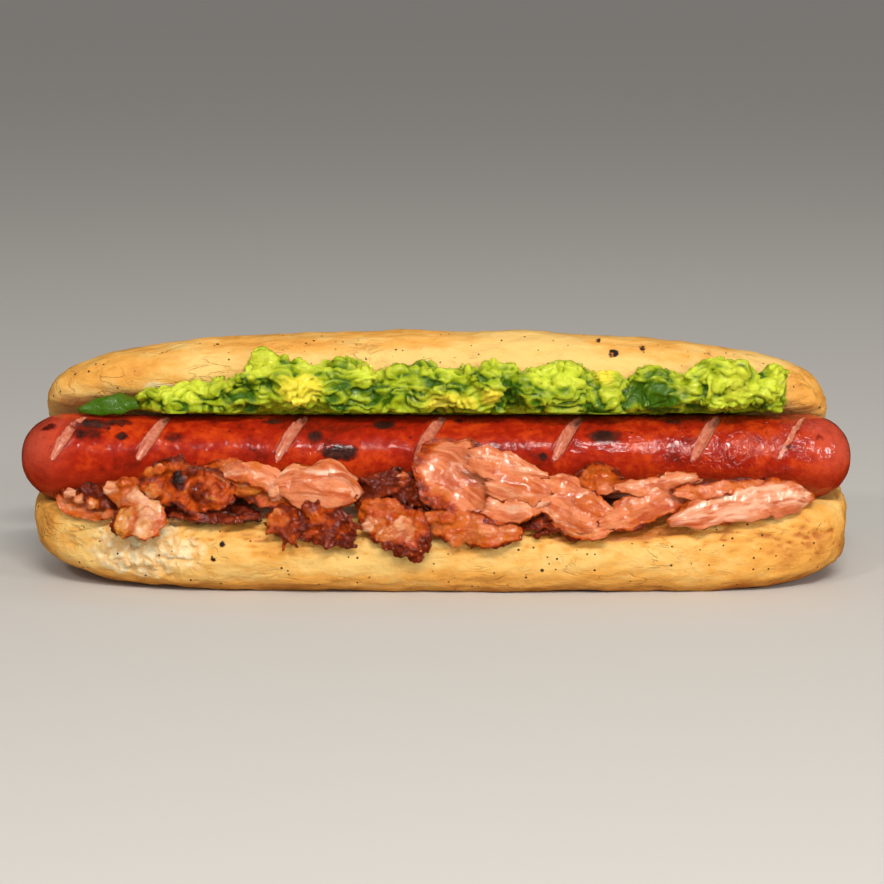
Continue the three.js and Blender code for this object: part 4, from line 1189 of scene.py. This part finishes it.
def meat_sheet(shape, look, blocker):
    """A strip as a closed sheet of its thickness, and the place, lay and cooked state of each of its points."""
    seed = shape["seed"]
    length, wide = shape["length"], max(shape["width"])
    thick = shape["thickness"] * SHEET_THICKNESS
    bm = bmesh.new()
    steps = [round(size / SHEET_STEP) for size in (length, wide)]
    bmesh.ops.create_grid(bm, x_segments=steps[0], y_segments=steps[1], size=1)
    rim = bm.verts.layers.float.new("rim")
    lay = bm.verts.layers.float_vector.new("lay")
    state = bm.verts.layers.float_vector.new("state")
    for vert in bm.verts:
        u, edge = (vert.co.x + 1) / 2, vert.co.y
        point, out, to_edge, ahead = strip_surface(shape, u, edge)
        at_edge = abs(edge) ** 4
        at_end = abs(2 * u - 1) ** 12
        flat = Vector((u * length, edge * wide / 2, seed * 5))
        warped = flat + noise.noise_vector(flat / 4) * 2
        crags = 1.6 * (ridges(warped, 4.2) - 0.5) + 0.8 * noise.noise(warped / 1.6)
        relief = look["crumple"] * mix(2.2 * noise.noise(warped / 5.5), crags, clamp(0.2 + look["crisp"]))
        jag = 1.6 * noise.noise(Vector((u * length / 2.4, edge, seed)))
        jag += (0.3 + look["crisp"]) * noise.noise(Vector((u * length / 0.9, edge, seed + 4)))
        jag *= look["ragged"]
        end_jag = look["ragged"] * noise.noise(Vector((edge * wide / 2.2, u, seed + 9))) * 2.6
        curl = 1.1 * look["crumple"] * at_edge * (0.5 + noise.noise(Vector((u * length / 5, edge, seed + 7))))
        point = point + out * (relief + curl) + to_edge * (math.copysign(1, edge) * jag * at_edge)
        point = point + ahead * (math.copysign(1, u - 0.5) * end_jag * at_end)
        vert.co = press_back(point, CLEARANCE + thick / 2, SHEET_SEARCH, blocker)
        vert[rim] = max(at_edge, at_end)
        vert[lay] = flat * MM
        vert[state] = cooked(shape, look, u, edge, flat, relief)
    smooth(bm, 1, 0.35)
    thicken(bm, thick)
    return bm, [(vert.co.copy(), vert[lay].copy(), vert[state].copy()) for vert in bm.verts]


def glob_of_meat(centre, reach, seed):
    """A ragged lump of fat or meat."""

    def swell_at(way):
        swell = 0.85 + 0.5 * noise.noise(way * 0.9 + Vector((seed * 2.9, 0, 0)))
        return swell + 0.3 * noise.noise(way * 2.2 + Vector((0, seed * 1.7, 0)))

    return uneven_ball(centre, reach, swell_at)


def nearby_marks(samples, points):
    """The lay and the cooked state at each point, from the samples nearest to it."""
    tree = KDTree(len(samples))
    for n, sample in enumerate(samples):
        tree.insert(sample[0], n)
    tree.balance()
    for point in points:
        lay, state, total = Vector(), Vector(), 0.0
        for _, index, distance in tree.find_n(point, SAMPLES_TAKEN):
            weight = 1 / (distance + 0.4) ** 2
            lay += samples[index][1] * weight
            state += samples[index][2] * weight
            total += weight
        yield point, lay / total, state / total


def torn_piece(name, material, blocker):
    """One piece of bacon: its strips, fused with its globs if it has any, clear of the bun and the sausage."""
    strips, globs = BACON[name]
    bm = bmesh.new()
    marks = []
    for shape, look in strips:
        sheet, found = meat_sheet(shape, look, blocker)
        join_into(bm, sheet)
        marks += found
    for n, (centre, reach, state) in enumerate(globs):
        glob = glob_of_meat(centre, reach, n + len(name))
        crisp, fat, char = state
        state = Vector((crisp + 0.12, 0.62 * fat, char))
        marks += [(vert.co.copy(), vert.co * MM, state) for vert in glob.verts]
        join_into(bm, glob)
    if globs:
        bm = fused(bm, MEAT_VOXEL)
        smooth(bm, 4)
        marks = list(nearby_marks(marks, [vert.co.copy() for vert in bm.verts]))
    bm.normal_update()
    meat, lays = [], []
    for vert, (_, lay, state) in zip(bm.verts, marks):
        meat.append((*state, 1.0))
        lays.append((*lay, 1.0))
        bubble = noise.noise(vert.co / 0.9) * 0.5 + ridges(vert.co, 2.1) - 0.5
        vert.co += vert.normal * (0.05 + 0.5 * state.x) * bubble
        vert.co = press_back(vert.co, CLEARANCE, PIECE_SEARCH, blocker)
    return finish_piece(name + "_torn", bm, material, [name], colours={"meat": meat, "lay": lays})


# Pieces


def blocker_of_bun(sizes):
    """What the mash and the bacon are pressed clear of: the sausage's size, and the bun's surface."""
    bm = bmesh.new()
    bm.from_mesh(bpy.data.objects["bun_crust"].data)
    for vert in bm.verts:
        vert.co = to_maker(vert.co)
    tree = BVHTree.FromBMesh(bm)
    bm.free()
    return {"radius": sizes.sausage_radius / MM, "half_length": sizes.sausage_length / MM / 2, "bun": tree}


def make_bun(sizes, material):
    """Both halves of the bun, joined along the hinge."""
    bm = lower_half(sizes)
    join_into(bm, upper_half(sizes))
    bm = fused(bm, CRUST_VOXEL)
    smooth(bm, 4)
    angle = sizes.open_angle
    labels = ("bake_and_crease_shade", "crumb", "torn", "char")
    values = {label: [] for label in labels}
    for vert in bm.verts:
        point, normal = vert.co.copy(), vert.normal.copy()
        cut = cut_face_share(point, normal, angle)
        relief = crust_relief(point) * (1 - 0.6 * cut)
        moved = point + normal * relief
        if abs(moved.x) < BED_END:
            moved = clear_of_axis(moved, sizes.sausage_radius / MM + CLEARANCE)
        vert.co = Vector((moved.x, moved.y, max(0.0, moved.z)))
        torn = spot(point, *TORN_PATCH)
        for label, value in zip(labels, (browning_and_crease_shade(point, normal, angle), cut, torn, strongest(point, CRUST_BURNS))):
            values[label].append(value)
    return finish_piece("bun_crust", bm, material, ["bun"], values)


def make_mash(seed, material, blocker):
    """The mash, pressed between the sausage and the bun."""
    bm = fused(mash_heap(seed), MASH_VOXEL)
    smooth(bm, 2)
    mash = []
    for vert in bm.verts:
        relief = mash_relief(vert.co)
        mash.append(colour_of_mash(vert.co, relief, vert.normal))
        point = vert.co + vert.normal * relief
        lowest = MASH_LOWEST + 0.2 * (SAUSAGE_Y - point.y)
        if point.z < lowest and point.y < SAUSAGE_Y - 1:
            point.z = mix(lowest, point.z, 0.15)
        vert.co = press_back(point, CLEARANCE, PIECE_SEARCH, blocker)
    colours = {"mash": mash}
    return finish_piece("avocado_mash_smeared", bm, material, ["avocado_mash"], colours=colours)


def make_sliver(material, blocker):
    """The dark glossy slice of avocado at the left end."""
    bm, _ = meat_sheet(AVOCADO_SLIVER, looks(crumple=0.25, ragged=0.3), blocker)
    mash = [(0.0, clamp(0.5 * noise.noise(vert.co / 2.5)), 1.3, 1.0) for vert in bm.verts]
    colours = {"mash": mash}
    return finish_piece("avocado_sliver_slice", bm, material, ["avocado_sliver"], colours=colours)


# Stage

AIM = Vector((1.5, -6.6, 35.4)) * MM
CAMERA_RISE = math.radians(12)
CAMERA_DISTANCE = 623.5 * MM
FLOOR_SIZE = 24.0
WORLD_TINT = (1.0, 0.985, 0.96, 1.0)
WORLD_POWER = 0.16

# Oblong lights: name, place and size in metres, power and tint.
LIGHTS = [
    ("key", (0.1, -0.66, 0.6), (0.34, 0.06), 4.3, (1.0, 0.95, 0.87)),
    ("glint", (-0.34, -0.6, 0.5), (0.1, 0.05), 1.1, (1.0, 0.95, 0.87)),
    ("fill", (0.8, -0.6, 0.35), (0.16, 0.16), 2.8, (1.0, 0.96, 0.9)),
    ("top", (0.1, 0.25, 0.9), (0.9, 0.3), 0.8, (1.0, 0.97, 0.93)),
]

# Suns: name, the way towards it, how wide it is, power and tint.
SUNS = [
    ("sky", (0.0, -1.0, 0.85), math.radians(50), 0.66, (1.0, 0.96, 0.9)),
    ("front", (0.2, -1.0, 0.12), math.radians(40), 0.4, (1.0, 0.95, 0.88)),
]


def place_camera():
    """The camera at the photograph's angle."""
    camera = bpy.data.objects.new("camera", bpy.data.cameras.new("camera"))
    camera.data.lens = 100
    camera.data.sensor_width = 36
    camera.data.clip_end = 100
    away = Vector((0, -math.cos(CAMERA_RISE), math.sin(CAMERA_RISE)))
    camera.location = AIM + away * CAMERA_DISTANCE
    camera.rotation_euler = away.to_track_quat("Z", "Y").to_euler()
    bpy.context.scene.collection.objects.link(camera)
    bpy.context.scene.camera = camera


def place_light(name, place, size, power, tint):
    """A soft oblong light at a place, facing the hot dog."""
    lamp = bpy.data.lights.new(name, "AREA")
    lamp.shape = "RECTANGLE"
    lamp.size, lamp.size_y = size
    lamp.energy = power
    lamp.color = tint
    light = bpy.data.objects.new(name, lamp)
    light.location = place
    light.rotation_euler = (Vector(place) - AIM).to_track_quat("Z", "Y").to_euler()
    bpy.context.scene.collection.objects.link(light)


def place_sun(name, towards, spread, power, tint):
    """A wide soft light from one side, even over the far floor too, that leaves no reflection."""
    lamp = bpy.data.lights.new(name, "SUN")
    lamp.angle = spread
    lamp.energy = power
    lamp.color = tint
    light = bpy.data.objects.new(name, lamp)
    light.rotation_euler = Vector(towards).to_track_quat("Z", "Y").to_euler()
    light.visible_glossy = False
    bpy.context.scene.collection.objects.link(light)


# Properties


def length(label, note, millimetres):
    """A length property, kept in metres."""
    return FloatProperty(name=label, description=note, default=millimetres * MM, unit="LENGTH", precision=4)


def colour(label, note, value):
    """A colour property."""
    return FloatVectorProperty(name=label, description=note, default=value, subtype="COLOR", size=3, min=0, max=1)


class HotDogSizes(bpy.types.PropertyGroup):
    """Driving sizes, the same as the solids'."""

    lower_length: length("Lower half", "Length of the half of the bun that lies down", 208)
    upper_length: length("Upper half", "Length of the lifted half of the bun", 201.2)
    open_angle: FloatProperty(
        name="Opening", description="How far the bun is opened", default=math.radians(42), unit="ROTATION"
    )
    sausage_length: length("Sausage length", "From end to end", 210)
    sausage_radius: length("Sausage radius", "Half its thickness", 10.8)
    score_half_length: length("Score half length", "Half the length of a slanting score", 8.4)
    score_half_width: length("Score half width", "Half the width of a score at its middle", 1.45)
    score_depth: length("Score depth", "How deep the scores are cut", 1.6)
    mash_seed: IntProperty(name="Mash seed", description="Which scatter of small lumps the mash has", default=5)


class HotDogColours(bpy.types.PropertyGroup):
    """Colours of the four foods."""

    crust_pale: colour("Crust, pale", "Sides of the bun", (0.82, 0.53, 0.17))
    crust_golden: colour("Crust, golden", "Shoulders of the bun", (0.78, 0.37, 0.07))
    crust_brown: colour("Crust, brown", "Top and underside of the bun", (0.46, 0.14, 0.02))
    crumb: colour("Crumb", "Cut and torn faces", (0.88, 0.72, 0.44))
    crumb_shade: colour("Crumb, shaded", "Pores of the cut faces", (0.66, 0.44, 0.18))
    char: colour("Char", "Burnt spots", (0.012, 0.009, 0.008))
    char_brown: colour("Char, brown", "Scorched edges", (0.05, 0.018, 0.01))
    skin_dark: colour("Casing, dark", "Darker mottling of the sausage", (0.17, 0.01, 0.003))
    skin_red: colour("Casing, red", "The sausage's main colour", (0.34, 0.014, 0.003))
    skin_orange: colour("Casing, orange", "Lighter mottling of the sausage", (0.54, 0.046, 0.005))
    # Painted shade on the sausage's underside.
    skin_underside_shade: colour("Casing, under", "Underside of the sausage", (0.32, 0.025, 0.006))
    # Painted pink sheen on the upper side of the sausage's ends.
    skin_end_sheen: colour("Casing, end", "Pinkish ends of the sausage", (0.55, 0.08, 0.042))
    meat_pink: colour("Meat, pink", "Open meat in the scores", (0.47, 0.1, 0.05))
    meat_pale: colour("Meat, pale", "Fibres in the scores", (0.68, 0.28, 0.18))
    avocado_green: colour("Avocado, green", "The mash's main colour", (0.33, 0.42, 0.008))
    # Also painted light on the mash's crests.
    avocado_pale_and_lit_crests: colour("Avocado, light", "Crests of the mash", (0.6, 0.68, 0.04))
    avocado_olive: colour("Avocado, olive", "Duller patches of the mash", (0.42, 0.38, 0.02))
    # Also painted shade in the mash's folds; on the sliver it is the slice's own dark green.
    avocado_deep_and_fold_shade: colour("Avocado, deep", "Folds of the mash", (0.05, 0.13, 0.002))
    avocado_yellow: colour("Avocado, yellow", "Flesh from near the stone", (0.82, 0.68, 0.045))
    lean_pink: colour("Lean, pink", "Barely grilled meat", (0.71, 0.235, 0.105))
    glaze: colour("Glaze", "Orange tint of the grilled lean meat", (0.55, 0.12, 0.014))
    lean_red: colour("Lean, red", "Deeper meat", (0.46, 0.08, 0.024))
    fat_pale: colour("Fat, pale", "Cream fat", (0.82, 0.47, 0.32))
    fat_amber: colour("Fat, amber", "Grilled fat", (0.62, 0.26, 0.03))
    sear_orange: colour("Seared, orange", "Grilled rind and edges", (0.49, 0.056, 0.003))
    sear_brown: colour("Seared, brown", "Crisp edges", (0.115, 0.009, 0.003))


# Operators


class HOTDOG_OT_bun(bpy.types.Operator):
    """Make the bun"""

    bl_idname = "hotdog.bun"
    bl_label = "Bun"

    def execute(self, context):
        make_bun(context.scene.hotdog_sizes, bread_finish(context.scene.hotdog_colours))
        return {"FINISHED"}


class HOTDOG_OT_sausage(bpy.types.Operator):
    """Make the scored sausage"""

    bl_idname = "hotdog.sausage"
    bl_label = "Sausage"

    def execute(self, context):
        bm, values = sausage_body(context.scene.hotdog_sizes)
        material = sausage_finish(context.scene.hotdog_colours)
        finish_piece("sausage_skin", bm, material, ["sausage"], values)
        return {"FINISHED"}


class HOTDOG_OT_avocado(bpy.types.Operator):
    """Make the avocado mash and its dark slice"""

    bl_idname = "hotdog.avocado"
    bl_label = "Avocado"

    def execute(self, context):
        sizes = context.scene.hotdog_sizes
        material = avocado_finish(context.scene.hotdog_colours)
        blocker = blocker_of_bun(sizes)
        make_mash(sizes.mash_seed, material, blocker)
        make_sliver(material, blocker)
        return {"FINISHED"}


class HOTDOG_OT_bacon(bpy.types.Operator):
    """Make the torn bacon"""

    bl_idname = "hotdog.bacon"
    bl_label = "Bacon"

    def execute(self, context):
        material = bacon_finish(context.scene.hotdog_colours)
        blocker = blocker_of_bun(context.scene.hotdog_sizes)
        for name in BACON:
            torn_piece(name, material, blocker)
        return {"FINISHED"}


class HOTDOG_OT_stage(bpy.types.Operator):
    """Make the floor, the lights and the camera"""

    bl_idname = "hotdog.stage"
    bl_label = "Stage"

    def execute(self, context):
        bpy.ops.mesh.primitive_plane_add(size=FLOOR_SIZE, location=(0, 0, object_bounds()[0][2]))
        floor = context.object
        floor.name = "floor"
        floor.data.materials.append(floor_finish())
        floor.visible_glossy = False
        floor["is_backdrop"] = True
        world = bpy.data.worlds.new("studio")
        world.use_nodes = True
        background = world.node_tree.nodes["Background"].inputs
        background["Color"].default_value = WORLD_TINT
        background["Strength"].default_value = WORLD_POWER
        world.cycles_visibility.glossy = False
        context.scene.world = world
        for light in LIGHTS:
            place_light(*light)
        for sun in SUNS:
            place_sun(*sun)
        context.scene.view_settings.view_transform = "Standard"
        place_camera()
        return {"FINISHED"}


class HOTDOG_PT_make(bpy.types.Panel):
    """Buttons for each part of the hot dog"""

    bl_idname = "HOTDOG_PT_make"
    bl_label = "Hot Dog"
    bl_space_type = "VIEW_3D"
    bl_region_type = "UI"
    bl_category = "Hot Dog"

    def draw(self, context):
        for operator in (HOTDOG_OT_bun, HOTDOG_OT_sausage, HOTDOG_OT_avocado, HOTDOG_OT_bacon, HOTDOG_OT_stage):
            self.layout.operator(operator.bl_idname)


CLASSES = (
    HotDogSizes,
    HotDogColours,
    HOTDOG_OT_bun,
    HOTDOG_OT_sausage,
    HOTDOG_OT_avocado,
    HOTDOG_OT_bacon,
    HOTDOG_OT_stage,
    HOTDOG_PT_make,
)


def register():
    """Makes the classes and the two groups of properties known to Blender."""
    for cls in CLASSES:
        bpy.utils.register_class(cls)
    bpy.types.Scene.hotdog_sizes = PointerProperty(type=HotDogSizes)
    bpy.types.Scene.hotdog_colours = PointerProperty(type=HotDogColours)


def unregister():
    """Takes back what register() did."""
    del bpy.types.Scene.hotdog_colours
    del bpy.types.Scene.hotdog_sizes
    for cls in reversed(CLASSES):
        bpy.utils.unregister_class(cls)


def main():
    """Makes everything, and works out the boxes of the solids and of the finished pieces."""
    cad_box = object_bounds()
    register()
    bpy.ops.hotdog.bun()
    bpy.ops.hotdog.sausage()
    bpy.ops.hotdog.avocado()
    bpy.ops.hotdog.bacon()
    bpy.ops.hotdog.stage()
    boxes = {"cad": cad_box, "visual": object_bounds()}
    {name: [list(corner) for corner in box] for name, box in boxes.items()}


if __name__ == "__main__":
    main()
